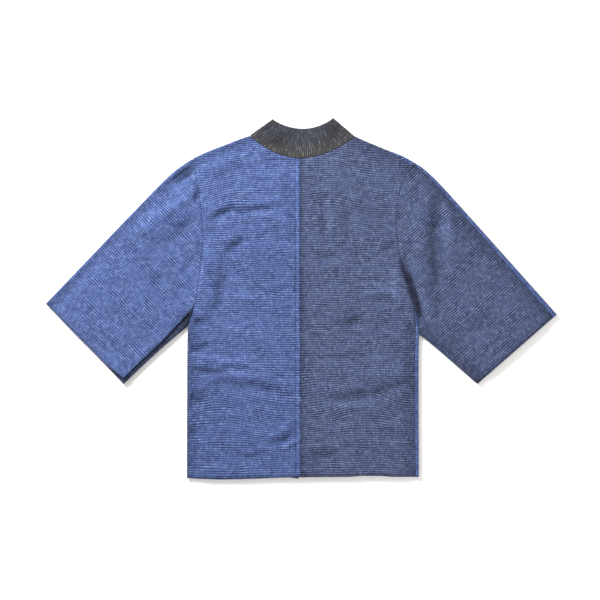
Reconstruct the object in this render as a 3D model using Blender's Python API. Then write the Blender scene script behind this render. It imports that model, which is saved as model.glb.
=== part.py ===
"""Kimono jacket, laid out flat with its back up.

The jacket is cut from ridged cloth in two colours, which change over at the centre back, at the sides
and along the sleeves, with one long band round the neck and down both front edges.  Every piece of cloth
is a closed wall.  The fronts and the under halves of the sleeves lie on the ground.  The back and the
upper halves of the sleeves lie on them, and along shoulders, sides and sleeves the lower cloth rolls up
round the edge to meet the upper cloth at a seam.  The ridges are raised on the outside of a plain wall.

Metres, +Z up, +Y towards the neck, the wearer's left at -X.
"""
from collections import namedtuple
from math import pi

import bmesh
import bpy
import numpy as np

# Cloth
CLOTH = 0.0020
BAND_CLOTH = 0.0030
SEAM_GAP = 0.0003
HALF_GAP = SEAM_GAP / 2
RIB_PITCH = 0.0050
RIB_HEIGHT = 0.0007
HEM_FOLD = 0.017
HEM_RISE = 0.0005
CREASE_ANGLE = 0.40

# How the layers lie
EDGE_ROLL = 0.0039
ROLL_INSIDE = EDGE_ROLL - CLOTH
UPPER_LAY = 0.0039
LEAST_LAY = 0.0034
PILLOW_FALL = 0.018
BAND_ROLL = 0.0044
QUARTER_ROLL = EDGE_ROLL * pi / 2

# Rows of the cloth
ROW_ARCH = 0.055
ARCH_HALF_WIDTH = 0.200
ARCH_MIDDLE = -0.020
HEM_WAVE_REACH = 0.030
BREAK_STEP = 0.00025
EDGE_STRIP = 0.012
UPPER_BLOCK = 6
SHOULDER_BLOCK = 2
LOWER_ROW = 0.020
LOWER_ARMHOLE_ROW = 0.010
LOWER_SHOULDER_ROW = 0.0035
BODY_COLUMNS = 3
SLEEVE_COLUMNS = 3

Spot = namedtuple("Spot", "x y")
Fold = namedtuple("Fold", "x y to_x to_y width height")
Wave = namedtuple("Wave", "x rise")
Stretch = namedtuple("Stretch", "line rolled strip strip_end")
Finish = namedtuple("Finish", "name colour roughness")

# The outline, from places that a cutter would mark
NECK_LEFT = Spot(-0.108, 0.325)
NECK_RIGHT = Spot(0.112, 0.321)
COLLAR_LEFT = Spot(-0.056, 0.361)
COLLAR_RIGHT = Spot(0.064, 0.363)
NECK_DIP = Spot(-0.002, 0.282)
COLLAR_DIP = Spot(0.004, 0.341)
SHOULDER_LEFT = (Spot(-0.216, 0.282), Spot(-0.190, 0.295), Spot(-0.150, 0.310), NECK_LEFT)
SHOULDER_RIGHT_OUTER = (Spot(0.231, 0.271), Spot(0.205, 0.286), Spot(0.182, 0.295))
SHOULDER_RIGHT_INNER = (Spot(0.182, 0.295), Spot(0.142, 0.311), NECK_RIGHT)
SLEEVE_TOP_LEFT = (Spot(-0.510, -0.008), Spot(-0.282, 0.231), Spot(-0.246, 0.263), Spot(-0.216, 0.282))
SLEEVE_TOP_RIGHT = (Spot(0.511, -0.030), Spot(0.278, 0.231), Spot(0.246, 0.261), Spot(0.231, 0.271))
SLEEVE_UNDER_LEFT = (Spot(-0.354, -0.169), Spot(-0.268, -0.092), Spot(-0.226, -0.053))
SLEEVE_UNDER_RIGHT = (Spot(0.352, -0.169), Spot(0.250, -0.080), Spot(0.236, -0.071))
ARMHOLE_LEFT_LOW = (Spot(-0.226, -0.053), Spot(-0.218, -0.030), Spot(-0.210, -0.004))
ARMHOLE_LEFT_HIGH = (
    Spot(-0.210, -0.004),
    Spot(-0.201, 0.053),
    Spot(-0.193, 0.123),
    Spot(-0.201, 0.203),
    Spot(-0.210, 0.253),
    Spot(-0.216, 0.282),
)
ARMHOLE_RIGHT = (
    Spot(0.236, -0.071),
    Spot(0.232, -0.036),
    Spot(0.223, 0.010),
    Spot(0.197, 0.075),
    Spot(0.189, 0.160),
    Spot(0.196, 0.215),
    Spot(0.209, 0.250),
    Spot(0.231, 0.271),
)
HEM_HEIGHT = -0.357
SIDE_LEFT = (Spot(-0.228, -0.372), Spot(-0.2275, -0.102), Spot(-0.226, -0.053))
SIDE_RIGHT = (Spot(0.234, -0.372), Spot(0.233, -0.120), Spot(0.236, -0.071))
CENTRE_BACK = (Spot(-0.001, -0.372), Spot(-0.002, 0.282))
FRONT_HEM_HEIGHT = -0.354
BAND_HEM_HEIGHT = -0.358
NECK_TIP = 0.0014
SLEEVE_TIP = 0.0020
SHOULDER_FROM = 0.262
SLEEVE_CAP_FROM = 0.360
BAND_SEAM_AT_HEM = 0.062
BAND_EDGE_AT_HEM = 0.004
BAND_SWING = 0.180
BAND_FRONT_STEPS = 24
BAND_FOLD_STEPS = 8
BAND_BACK_STEPS = 7

# Places across the band from its seam, with the share of its thickness there
BAND_ACROSS = ((0.0, 0.8), (0.03, 1.0), (0.97, 1.0), (1.0, 0.4))

# How the back hem waves away from a straight line
HEM_WAVE = (
    Wave(-0.228, -0.004),
    Wave(-0.180, -0.008),
    Wave(-0.120, -0.006),
    Wave(-0.030, 0.000),
    Wave(0.040, 0.002),
    Wave(0.234, 0.003),
)

# The largest folds of the upper cloth: troughs are negative, ridges positive
FOLDS = (
    Fold(-0.176, 0.163, -0.130, 0.179, 0.007, -0.0010),
    Fold(-0.130, 0.179, -0.038, 0.187, 0.006, -0.0009),
    Fold(-0.122, 0.123, -0.150, 0.095, 0.009, -0.0012),
    Fold(-0.144, 0.075, -0.150, -0.025, 0.014, -0.0008),
    Fold(-0.222, 0.223, -0.310, 0.125, 0.014, 0.0014),
    Fold(-0.230, 0.171, -0.270, 0.113, 0.015, -0.0010),
    Fold(-0.196, 0.040, -0.204, -0.010, 0.010, 0.0010),
    Fold(-0.216, -0.137, -0.158, -0.149, 0.007, -0.0008),
    Fold(-0.158, -0.171, -0.026, -0.189, 0.009, -0.0009),
    Fold(-0.216, -0.117, -0.154, -0.123, 0.008, 0.0009),
    Fold(0.044, -0.203, 0.132, -0.187, 0.009, -0.0009),
    Fold(0.132, -0.187, 0.202, -0.165, 0.009, -0.0010),
    Fold(0.080, -0.049, 0.136, -0.039, 0.009, -0.0008),
    Fold(0.200, 0.059, 0.222, -0.025, 0.008, -0.0016),
    Fold(0.266, 0.219, 0.272, -0.001, 0.013, -0.0014),
    Fold(0.290, 0.200, 0.300, 0.020, 0.014, 0.0010),
)

BRIGHT_BLUE = Finish("bright_blue_cloth", (0.100, 0.155, 0.350), 0.90)
DARK_INDIGO = Finish("dark_indigo_cloth", (0.095, 0.118, 0.215), 0.90)
CHARCOAL = Finish("charcoal_band_cloth", (0.090, 0.095, 0.110), 0.88)


def clear_scene():
    for item in list(bpy.data.objects):
        bpy.data.objects.remove(item)


def cloth_finish(finish):
    material = bpy.data.materials.new(finish.name)
    material.use_nodes = True
    shader = material.node_tree.nodes["Principled BSDF"]
    shader.inputs["Base Color"].default_value = (*finish.colour, 1.0)
    shader.inputs["Roughness"].default_value = finish.roughness
    shader.inputs["Metallic"].default_value = 0.0
    return material


def rounded(spots, passes=3):
    """A line through the marked places with its corners cut round and its ends kept."""
    line = np.array(spots, float)
    for _ in range(passes):
        near = line[:-1] * 0.75 + line[1:] * 0.25
        far = line[:-1] * 0.25 + line[1:] * 0.75
        middle = np.stack((near, far), axis=1).reshape(-1, 2)
        line = np.vstack((line[:1], middle[1:-1], line[-1:]))
    return line


class Heading:
    """The direction of a piece's rows: s runs across the piece and t from row to row."""

    def __init__(self, origin, across, along):
        self.origin = np.array(origin, float)
        self.across = np.array(across, float)
        self.along = np.array(along, float)

    def measure(self, points):
        offset = np.asarray(points) - self.origin
        return offset @ self.across, offset @ self.along

    def plan(self, s, t):
        return self.origin + s[..., None] * self.across + t[..., None] * self.along


def cuff_heading(upper, lower, side):
    across = np.subtract(lower, upper)
    across = across / np.linalg.norm(across)
    along = np.array((-across[1], across[0])) * side
    return Heading(upper, across, along)


BODY = Heading((0, 0), (1, 0), (0, 1))
SLEEVE_LEFT = cuff_heading(SLEEVE_TOP_LEFT[0], SLEEVE_UNDER_LEFT[0], 1)
SLEEVE_RIGHT = cuff_heading(SLEEVE_TOP_RIGHT[0], SLEEVE_UNDER_RIGHT[0], -1)


class RowEnds:
    """Where one end of each row lies: across place, slant of the edge there, rolled or cut, strip width."""

    def __init__(self, stretches, heading, heights):
        self.across = np.zeros(len(heights))
        self.slant = np.ones(len(heights))
        self.strip = np.zeros(len(heights))
        self.rolled = np.zeros(len(heights), bool)
        for index, stretch in enumerate(stretches):
            s, t = heading.measure(stretch.line)
            here = heights >= t[0]
            if index == 0:
                here = np.ones(len(heights), bool)
            rate = np.interp(heights, t, np.gradient(s, t))
            share = np.clip((heights - t[0]) / (t[-1] - t[0]), 0, 1)
            strip = stretch.strip + (stretch.strip_end - stretch.strip) * share
            self.across = np.where(here, np.interp(heights, t, s), self.across)
            self.slant = np.where(here, np.minimum(np.hypot(1, rate), 12), self.slant)
            self.strip = np.where(here, strip, self.strip)
            self.rolled = np.where(here, stretch.rolled, self.rolled)


def breaks_of(stretches, heading):
    """The places where one stretch of an edge gives way to the next."""
    marks = []
    for stretch in stretches[1:]:
        s, t = heading.measure(stretch.line)
        marks.append((s[0], t[0]))
    return marks


def body_bend(s, t):
    """How far a ridge of the back lies above or below its straight row."""
    outward = (1 - np.cos(pi * np.minimum(np.abs(s) / ARCH_HALF_WIDTH, 1))) / 2
    arch = -ROW_ARCH * (t - HEM_HEIGHT) * (t - ARCH_MIDDLE) * outward
    wave = np.interp(s, [w.x for w in HEM_WAVE], [w.rise for w in HEM_WAVE])
    return arch + wave * np.exp(-(t - HEM_HEIGHT) / HEM_WAVE_REACH)


def no_bend(s, t):
    return 0 * s


def settle(guess, step):
    """Repeats a step that closes in on a steady value."""
    value = guess
    for _ in range(12):
        value = step(value)
    return value


def distance_to_line(points, line):
    nearest = np.full(points.shape[:-1], 1.0)
    for a, b in zip(line[:-1], line[1:]):
        run = b - a
        share = np.clip(((points - a) @ run) / (run @ run), 0, 1)
        gap = np.linalg.norm(points - a - share[..., None] * run, axis=-1)
        nearest = np.minimum(nearest, gap)
    return nearest


def from_rolled_edge(points):
    edges = (
        SHOULDER_LEFT,
        SHOULDER_RIGHT_OUTER,
        SHOULDER_RIGHT_INNER,
        SLEEVE_TOP_LEFT,
        SLEEVE_TOP_RIGHT,
        SLEEVE_UNDER_LEFT,
        SLEEVE_UNDER_RIGHT,
        SIDE_LEFT,
        SIDE_RIGHT,
    )
    return np.min([distance_to_line(points, rounded(edge)) for edge in edges], axis=0)


def folds(points):
    """The rise of the cloth from its largest folds, each fading out at its two ends."""
    rise = np.zeros(points.shape[:-1])
    for fold in FOLDS:
        start = np.array((fold.x, fold.y))
        run = np.array((fold.to_x, fold.to_y)) - start
        share = ((points - start) @ run) / (run @ run)
        foot = start + np.clip(share, 0, 1)[..., None] * run
        gap = np.linalg.norm(points - foot, axis=-1)
        rise = rise + fold.height * np.exp(-((gap / fold.width) ** 2))
    return rise


def upper_lay(points):
    """Height of the inside of the upper cloth: fuller along the rolled edges, and folded."""
    edge = from_rolled_edge(points)
    inward = np.maximum(edge - EDGE_ROLL, 0)
    full = EDGE_ROLL + ROLL_INSIDE - UPPER_LAY
    pillow = full * np.exp(-((inward / PILLOW_FALL) ** 2))
    calm = np.clip(inward / EDGE_STRIP, 0, 1)
    return np.maximum(UPPER_LAY + pillow + folds(points) * calm, LEAST_LAY)


def arc_at(inset):
    """Place along the outside of the roll, from its outermost line, for an inset in plan."""
    bend = EDGE_ROLL * np.arccos(1 - np.clip(inset / EDGE_ROLL, 0, 1))
    return bend + np.maximum(inset - EDGE_ROLL, 0)


def roll_section(arc, rib):
    """Outside and inside of the rolled edge at a place along it: plan insets and heights."""
    turn = np.clip(arc / EDGE_ROLL, -pi / 2, pi / 2)
    beyond = np.maximum(np.abs(arc) - QUARTER_ROLL, 0)
    reach = EDGE_ROLL + rib
    outside = (EDGE_ROLL - reach * np.cos(turn) + beyond, EDGE_ROLL + reach * np.sin(turn))
    inside = (EDGE_ROLL - ROLL_INSIDE * np.cos(turn) + beyond, EDGE_ROLL + ROLL_INSIDE * np.sin(turn))
    return outside, inside


def rib_height(t):
    share = np.mod(t / RIB_PITCH, 1)
    return RIB_HEIGHT * (1 - np.abs(2 * share - 1))


class Wall:
    """Collects the columns of a wall of cloth, low side first, and builds its closed solid."""

    def __init__(self, heading, rows, stops):
        self.heading = heading
        self.rows = rows
        self.stops = stops
        self.outer = []
        self.inner = []
        self.fine = []
        self.held = []

    def add(self, outer, inner, fine, held=None):
        """Adds a column of points; held says for each row whether the cloth reaches back from it."""
        self.outer.append(outer)
        self.inner.append(inner)
        self.fine.append(fine)
        self.held.append(np.ones(len(self.rows), bool) if held is None else held)

    def zip_lines(self, mesh, a, b):
        """Faces between two lines of vertices that start and end side by side."""
        if len(a) == len(b):
            for k in range(len(a) - 1):
                mesh.faces.new((a[k], a[k + 1], b[k + 1], b[k]))
            return
        i = 0
        j = 0
        while i < len(a) - 1 or j < len(b) - 1:
            step_a = (i + 0.5) / (len(a) - 1)
            step_b = (j + 0.5) / (len(b) - 1)
            if step_a < step_b:
                mesh.faces.new((a[i], a[i + 1], b[j]))
                i += 1
            else:
                mesh.faces.new((a[i], b[j + 1], b[j]))
                j += 1

    def build(self, name, material):
        mesh = bmesh.new()
        made = {}

        def vertex(side, row, column):
            key = (side, row, column)
            if key not in made:
                source = self.outer if side else self.inner
                made[key] = mesh.verts.new(source[column][row])
            return made[key]

        def line(side, column, block):
            first, last = self.stops[block], self.stops[block + 1]
            step = 1 if side and self.fine[column] else last - first
            return [vertex(side, row, column) for row in range(first, last + 1, step)]

        def holds(block, column):
            if not (0 <= block < len(self.stops) - 1 and 0 <= column < len(self.outer) - 1):
                return False
            first, last = self.stops[block], self.stops[block + 1]
            return bool(self.held[column][first] and self.held[column][last])

        for block in range(len(self.stops) - 1):
            for column in range(len(self.outer) - 1):
                if not holds(block, column):
                    continue
                for side in (True, False):
                    self.zip_lines(mesh, line(side, column, block), line(side, column + 1, block))
                if not holds(block, column - 1):
                    self.zip_lines(mesh, line(True, column, block), line(False, column, block))
                if not holds(block, column + 1):
                    self.zip_lines(mesh, line(True, column + 1, block), line(False, column + 1, block))
                for near, row in ((block - 1, self.stops[block]), (block + 1, self.stops[block + 1])):
                    if not holds(near, column):
                        corners = ((True, column), (True, column + 1), (False, column + 1), (False, column))
                        mesh.faces.new([vertex(side, row, place) for side, place in corners])
        return finish_object(name, mesh, material)


def finish_object(name, mesh, material):
    bmesh.ops.recalc_face_normals(mesh, faces=mesh.faces)
    data = bpy.data.meshes.new(name)
    mesh.to_mesh(data)
    mesh.free()
    data.materials.append(material)
    data.shade_smooth()
    data.set_sharp_from_angle(angle=CREASE_ANGLE)
    item = bpy.data.objects.new(name, data)
    bpy.context.collection.objects.link(item)
    return item


def join_xyz(plan, height):
    return np.concatenate((plan, np.broadcast_to(height, plan.shape[:-1])[..., None]), axis=-1)


def upper_rows(start, end, ends, heading, bend, calm_from):
    """Row heights two to a ridge, with a close pair at each break of the edges, and the block stops."""
    rows = list(np.arange(start, end, RIB_PITCH / 2)) + [end]
    pairs = []
    for stretches in ends:
        for s, t in breaks_of(stretches, heading):
            for side in (-BREAK_STEP, BREAK_STEP):
                height = settle(t, lambda value: t + side - bend(np.array(s), value))
                if start < height < end:
                    pairs.append(float(height))
    rows = [row for row in rows if all(abs(row - pair) > BREAK_STEP for pair in pairs)]
    rows = np.array(sorted(rows + pairs))
    stops = [0]
    for index in range(1, len(rows)):
        block = UPPER_BLOCK if rows[index] < calm_from else SHOULDER_BLOCK
        paired = any(abs(rows[index] - pair) < 1e-9 for pair in pairs)
        if paired or index - stops[-1] >= block or index == len(rows) - 1:
            stops.append(index)
    return rows, stops


def upper_piece(name, material, heading, low, high, start, end, bend, columns, calm_from):
    """A back or the upper half of a sleeve, lying on the lower cloth."""
    rows, stops = upper_rows(start, end, (low, high), heading, bend, calm_from)

    def ends_at(stretches):
        across = settle(rows * 0, lambda s: RowEnds(stretches, heading, rows + bend(s, rows)).across)
        return RowEnds(stretches, heading, rows + bend(across, rows))

    first = ends_at(low)
    last = ends_at(high)
    length = last.across - first.across
    rib = rib_height(rows)
    hem = HEM_RISE * np.clip((start + HEM_FOLD - rows) / BREAK_STEP, 0, 1)
    wall = Wall(heading, rows, stops)

    def place(s_outer, s_inner, fine, rise=None, held=None):
        plan_outer = heading.plan(s_outer, rows + bend(s_outer, rows))
        plan_inner = heading.plan(s_inner, rows + bend(s_inner, rows))
        if rise is None:
            top = upper_lay(plan_outer) + CLOTH + rib + hem
            under = upper_lay(plan_inner)
        else:
            top, under = rise
        wall.add(join_xyz(plan_outer, top), join_xyz(plan_inner, under), fine, held)

    def edge(row_ends, inward):
        """The columns from an edge inwards: round the roll where the seam is under it, then on top."""
        wrapped = row_ends.rolled & (row_ends.strip == 0)
        room = 0.40 * length / row_ends.slant
        found = []
        for share in (0.0, 0.35, 0.7):
            arc = SEAM_GAP + share * (QUARTER_ROLL - SEAM_GAP)
            arc = np.minimum(arc, arc_at(room * (0.3 + 0.5 * share)))
            outside, inside = roll_section(arc, rib)
            inset = np.minimum(inside[0], room * (1.1 + 0.2 * share))
            s_outer = row_ends.across + inward * outside[0] * row_ends.slant
            s_inner = row_ends.across + inward * inset * row_ends.slant
            found.append((s_outer, s_inner, False, (outside[1], inside[1]), wrapped))
        cut_inset = np.where(row_ends.strip > 0, row_ends.strip + SEAM_GAP, HALF_GAP)
        for extra in (0.0, EDGE_STRIP) if row_ends.rolled.any() else (0.0,):
            inset = np.where(wrapped, EDGE_ROLL, cut_inset) + extra
            inset = np.where(wrapped, np.minimum(inset, room), np.minimum(inset, room + cut_inset))
            deeper = 0.0 if extra else SEAM_GAP
            s_outer = row_ends.across + inward * inset * row_ends.slant
            s_inner = row_ends.across + inward * (inset + np.where(wrapped, 0, deeper)) * row_ends.slant
            if extra == 0:
                found.append((s_outer, s_inner, True, None, None))
            else:
                found.append((s_outer, s_outer, True, None, None))
        return found

    low_side = edge(first, 1)
    high_side = edge(last, -1)
    for s_outer, s_inner, fine, rise, held in low_side:
        place(s_outer, s_inner, fine, rise, held)
    inner_low = low_side[-1][0]
    inner_high = high_side[-1][0]
    for index in range(1, columns):
        across = inner_low + (inner_high - inner_low) * index / columns
        place(across, across, True)
    high_side.reverse()
    for index, (s_outer, s_inner, fine, rise, held) in enumerate(high_side):
        reaches = high_side[index + 1][4] if index + 1 < len(high_side) else None
        place(s_outer, s_inner, fine, rise, reaches)
    return wall.build(name, material)


def lower_rows(start, end, ends, heading, calm_from):
    """Rows of a plain lower piece: close at the shoulder, with a close pair at each break."""
    marks = [start, end]
    for stretches in ends:
        for _, t in breaks_of(stretches, heading):
            marks += [mark for mark in (t - BREAK_STEP, t + BREAK_STEP) if start < mark < end]
    marks = sorted(set(marks))
    rows = [start]
    for near, far in zip(marks[:-1], marks[1:]):
        spacing = LOWER_ROW if near == start else LOWER_ARMHOLE_ROW
        if near > calm_from:
            spacing = LOWER_SHOULDER_ROW
        count = max(1, round((far - near) / spacing))
        rows += [near + (far - near) * step / count for step in range(1, count + 1)]
    return np.array(rows)


def lower_piece(name, material, heading, low, high, start, end, calm_from):
    """A front or the under half of a sleeve: flat on the ground, rolled up round the edges."""
    rows = lower_rows(start, end, (low, high), heading, calm_from)
    first = RowEnds(low, heading, rows)
    last = RowEnds(high, heading, rows)
    length = last.across - first.across
    wall = Wall(heading, rows, list(range(len(rows))))

    def place(s_outer, s_inner, top, under, held=None):
        outer = join_xyz(heading.plan(s_outer, rows), top)
        inner = join_xyz(heading.plan(s_inner, rows), under)
        wall.add(outer, inner, False, held)

    def edge(row_ends, inward):
        """Columns from the seam on top, round the roll, to where the cloth leaves the ground."""
        rolled = row_ends.rolled
        topped = row_ends.strip > 0
        room = 0.35 * length / row_ends.slant
        found = []
        strip_in = np.minimum(np.maximum(row_ends.strip, EDGE_ROLL), room)
        cut = np.where(rolled, EDGE_ROLL, HALF_GAP)
        for inset in (strip_in, np.minimum(cut, room)):
            across = row_ends.across + inward * inset * row_ends.slant
            lay = upper_lay(heading.plan(across, rows))
            found.append((across, across, lay + CLOTH, lay, topped))
        found[1] = (*found[1][:4], rolled & topped)
        for share in (0.5, 0.0, -0.5):
            arc = share * QUARTER_ROLL
            outside, inside = roll_section(np.full(len(rows), arc), 0)
            s_outer = row_ends.across + inward * np.minimum(outside[0], room) * row_ends.slant
            s_inner = row_ends.across + inward * np.minimum(inside[0], room) * row_ends.slant
            held = rolled & topped if share > 0 else rolled
            found.append((s_outer, s_inner, outside[1], inside[1], held))
        flat = np.where(rolled, np.minimum(EDGE_ROLL, room), HALF_GAP)
        across = row_ends.across + inward * flat * row_ends.slant
        found.append((across, across, 0 * rows, 0 * rows + CLOTH, None))
        return found

    low_side = edge(first, 1)
    high_side = edge(last, -1)
    for s_outer, s_inner, top, under, held in low_side:
        place(s_outer, s_inner, top, under, held)
    high_side.reverse()
    for index, (s_outer, s_inner, top, under, held) in enumerate(high_side):
        reaches = high_side[index + 1][4] if index + 1 < len(high_side) else None
        place(s_outer, s_inner, top, under, reaches)
    return wall.build(name, material)


def neck_fold(neck, corner):
    """The line on which the band turns from the back neck to the front, and the way in from it."""
    start = np.array(neck)
    end = np.array(corner)
    run = (end - start) / np.linalg.norm(end - start)
    inward = np.array((run[1], -run[0])) * np.sign(run[0])
    return start, end, inward


def neckline(neck, corner, count=11):
    """The back neck seam from its middle out to the fold of the band."""
    start, _, inward = neck_fold(neck, corner)
    turn = start + inward * BAND_ROLL
    x = np.linspace(NECK_DIP.x, turn[0], count)
    share = (x - NECK_DIP.x) / (turn[0] - NECK_DIP.x)
    y = NECK_DIP.y + (turn[1] - NECK_DIP.y) * share**2
    return np.stack((x, y), axis=1), turn, start


def back_neck_edge(neck, corner):
    line, _, start = neckline(neck, corner)
    return np.vstack((line, start))


def band_edge(place, at_hem, heights):
    """The x of a long edge of the front band, which swings out as it nears the neck."""
    swing = np.exp(-(place[1] - heights) / BAND_SWING)
    side = np.sign(place[0])
    return side * at_hem + (place[0] - side * at_hem) * swing


def front_band_seam(neck, corner, count=24):
    _, turn, start = neckline(neck, corner)
    heights = np.linspace(SIDE_LEFT[0].y, turn[1], count)
    line = np.stack((band_edge(turn, BAND_SEAM_AT_HEM, heights), heights), axis=1)
    return np.vstack((line, start))


def back_pieces(bright, dark):
    side_left = Stretch(rounded(SIDE_LEFT), True, 0.0055, 0.0055)
    side_right = Stretch(rounded(SIDE_RIGHT), True, 0.0070, 0.0075)
    armhole_left = Stretch(armhole_left_line(), False, 0, 0)
    armhole_right = Stretch(rounded(ARMHOLE_RIGHT), False, 0, 0)
    shoulder_left = Stretch(rounded(SHOULDER_LEFT), True, 0, 0)
    shoulder_right = (
        Stretch(rounded(SHOULDER_RIGHT_OUTER), True, 0.0075, 0.0045),
        Stretch(rounded(SHOULDER_RIGHT_INNER), True, 0, 0),
    )
    centre = Stretch(np.array(CENTRE_BACK), False, 0, 0)
    neck_left = Stretch(back_neck_edge(NECK_LEFT, COLLAR_LEFT), False, 0, 0)
    neck_right = Stretch(back_neck_edge(NECK_RIGHT, COLLAR_RIGHT), False, 0, 0)
    outer_left = (side_left, armhole_left, shoulder_left)
    outer_right = (side_right, armhole_right, *shoulder_right)
    for name, material, low, high, neck in (
        ("back_left", bright, outer_left, (centre, neck_left), NECK_LEFT),
        ("back_right", dark, (centre, neck_right), outer_right, NECK_RIGHT),
    ):
        top = neck.y - NECK_TIP
        end = float(settle(top, lambda t: top - body_bend(np.array(neck.x), t)))
        upper_piece(name, material, BODY, low, high, HEM_HEIGHT, end, body_bend, BODY_COLUMNS, SHOULDER_FROM)
    for name, material, low, high, neck in (
        ("front_left", dark, outer_left, (front_band(NECK_LEFT, COLLAR_LEFT),), NECK_LEFT),
        ("front_right", bright, (front_band(NECK_RIGHT, COLLAR_RIGHT),), outer_right, NECK_RIGHT),
    ):
        lower_piece(name, material, BODY, low, high, FRONT_HEM_HEIGHT, neck.y - NECK_TIP, SHOULDER_FROM)


def front_band(neck, corner):
    return Stretch(front_band_seam(neck, corner), False, 0, 0)


def armhole_left_line():
    return np.vstack((rounded(ARMHOLE_LEFT_LOW), rounded(ARMHOLE_LEFT_HIGH)[1:]))


def sleeves(bright, dark):
    left_top = (Stretch(rounded(SLEEVE_TOP_LEFT), True, 0, 0),)
    left_under = (
        Stretch(rounded(SLEEVE_UNDER_LEFT), True, 0.0090, 0.0170),
        Stretch(rounded(ARMHOLE_LEFT_LOW), False, 0.0170, 0.0060),
        Stretch(rounded(ARMHOLE_LEFT_HIGH), False, 0, 0),
    )
    right_top = (Stretch(rounded(SLEEVE_TOP_RIGHT), True, 0.0095, 0.0075),)
    right_under = (
        Stretch(rounded(SLEEVE_UNDER_RIGHT), True, 0, 0),
        Stretch(rounded(ARMHOLE_RIGHT), False, 0, 0),
    )
    for side, heading, top, under, upper_cloth, lower_cloth in (
        ("left", SLEEVE_LEFT, left_top, left_under, bright, dark),
        ("right", SLEEVE_RIGHT, right_top, right_under, dark, bright),
    ):
        end = float(heading.measure(top[0].line)[1][-1]) - SLEEVE_TIP
        back = f"sleeve_{side}_back"
        front = f"sleeve_{side}_front"
        upper_piece(back, upper_cloth, heading, top, under, 0, end, no_bend, SLEEVE_COLUMNS, SLEEVE_CAP_FROM)
        lower_piece(front, lower_cloth, heading, top, under, 0, end, SLEEVE_CAP_FROM)


def collar_stations():
    """Lines across the band from its seam to its free edge, from the left front hem to the right."""
    stations = []
    for neck, corner, order in ((NECK_LEFT, COLLAR_LEFT, 1), (NECK_RIGHT, COLLAR_RIGHT, -1)):
        start, end, inward = neck_fold(neck, corner)
        turn = start + inward * BAND_ROLL
        edge_turn = end + inward * BAND_ROLL
        half = []
        for share in np.linspace(1, 0, BAND_FRONT_STEPS + 1):
            seam_y = turn[1] + (BAND_HEM_HEIGHT - turn[1]) * share
            edge_y = edge_turn[1] + (BAND_HEM_HEIGHT - edge_turn[1]) * share
            seam = np.array((band_edge(turn, BAND_SEAM_AT_HEM, seam_y), seam_y))
            edge = np.array((band_edge(edge_turn, BAND_EDGE_AT_HEM, edge_y), edge_y))
            half.append((seam, edge, 0.0, seam, edge, BAND_CLOTH))
        for angle in np.linspace(-pi / 2, pi / 2, BAND_FOLD_STEPS + 1)[1:]:
            outer = inward * BAND_ROLL * (1 - np.cos(angle))
            inside = BAND_ROLL - BAND_CLOTH
            inner = inward * (BAND_ROLL - inside * np.cos(angle))
            top = BAND_ROLL * (1 + np.sin(angle))
            under = BAND_ROLL + inside * np.sin(angle)
            half.append((start + outer, end + outer, top, start + inner, end + inner, under))
        seam_line, _, _ = neckline(neck, corner, BAND_BACK_STEPS + 1)
        edge_x = np.linspace(edge_turn[0], COLLAR_DIP.x, BAND_BACK_STEPS + 1)[1:]
        share = (edge_x - COLLAR_DIP.x) / (edge_turn[0] - COLLAR_DIP.x)
        edge_y = COLLAR_DIP.y + (edge_turn[1] - COLLAR_DIP.y) * share**2
        for index, seam in enumerate(seam_line[::-1][1:]):
            edge = np.array((edge_x[index], edge_y[index]))
            away = np.linalg.norm(seam - turn)
            full = 2 * BAND_ROLL - BAND_CLOTH - UPPER_LAY
            under = UPPER_LAY + full * np.exp(-((away / PILLOW_FALL) ** 2))
            half.append((seam, edge, under + BAND_CLOTH, seam, edge, under))
        stations += half if order == 1 else half[-2::-1]
    return stations


def collar_band(material):
    stations = collar_stations()
    rows = np.arange(len(stations))
    wall = Wall(BODY, rows, list(range(len(stations))))
    for share, full in BAND_ACROSS:
        outer = []
        inner = []
        for seam, edge, top, seam_inner, edge_inner, under in stations:
            inset = HALF_GAP / np.linalg.norm(edge - seam)
            across = inset + share * (1 - inset)
            thin = (top - under) * (1 - full) / 2
            outer.append((*(seam + (edge - seam) * across), top - thin))
            inner.append((*(seam_inner + (edge_inner - seam_inner) * across), under + thin))
        wall.add(np.array(outer), np.array(inner), False)
    return wall.build("collar_band", material)


def rest_on_ground():
    """Moves the whole jacket so that the middle of its lowest face is at the origin."""
    items = [item for item in bpy.data.objects if item.type == "MESH"]
    points = np.array([vertex.co for item in items for vertex in item.data.vertices])
    low = points.min(axis=0)
    high = points.max(axis=0)
    shift = np.array(((low[0] + high[0]) / 2, (low[1] + high[1]) / 2, low[2]))
    for item in items:
        for vertex in item.data.vertices:
            vertex.co = np.array(vertex.co) - shift


def make_jacket():
    clear_scene()
    bright = cloth_finish(BRIGHT_BLUE)
    dark = cloth_finish(DARK_INDIGO)
    back_pieces(bright, dark)
    sleeves(bright, dark)
    collar_band(cloth_finish(CHARCOAL))
    rest_on_ground()


make_jacket()
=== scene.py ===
"""Kimono jacket, laid out flat with its back up.

Dresses the jacket's fixed frame: ridged cloth in two colours as thin shells with their creases, the neck
band, the sewing, and a pale studio.  Each piece of cloth stands in for the solid of the same name.  The
backs and the upper halves of the sleeves lie on the fronts and the under halves, and along shoulders,
sides and sleeves the lower cloth rolls up round the edge to meet the upper cloth at a seam.

Metres, +Z up, +Y towards the neck, the wearer's left at -X.
"""

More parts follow.
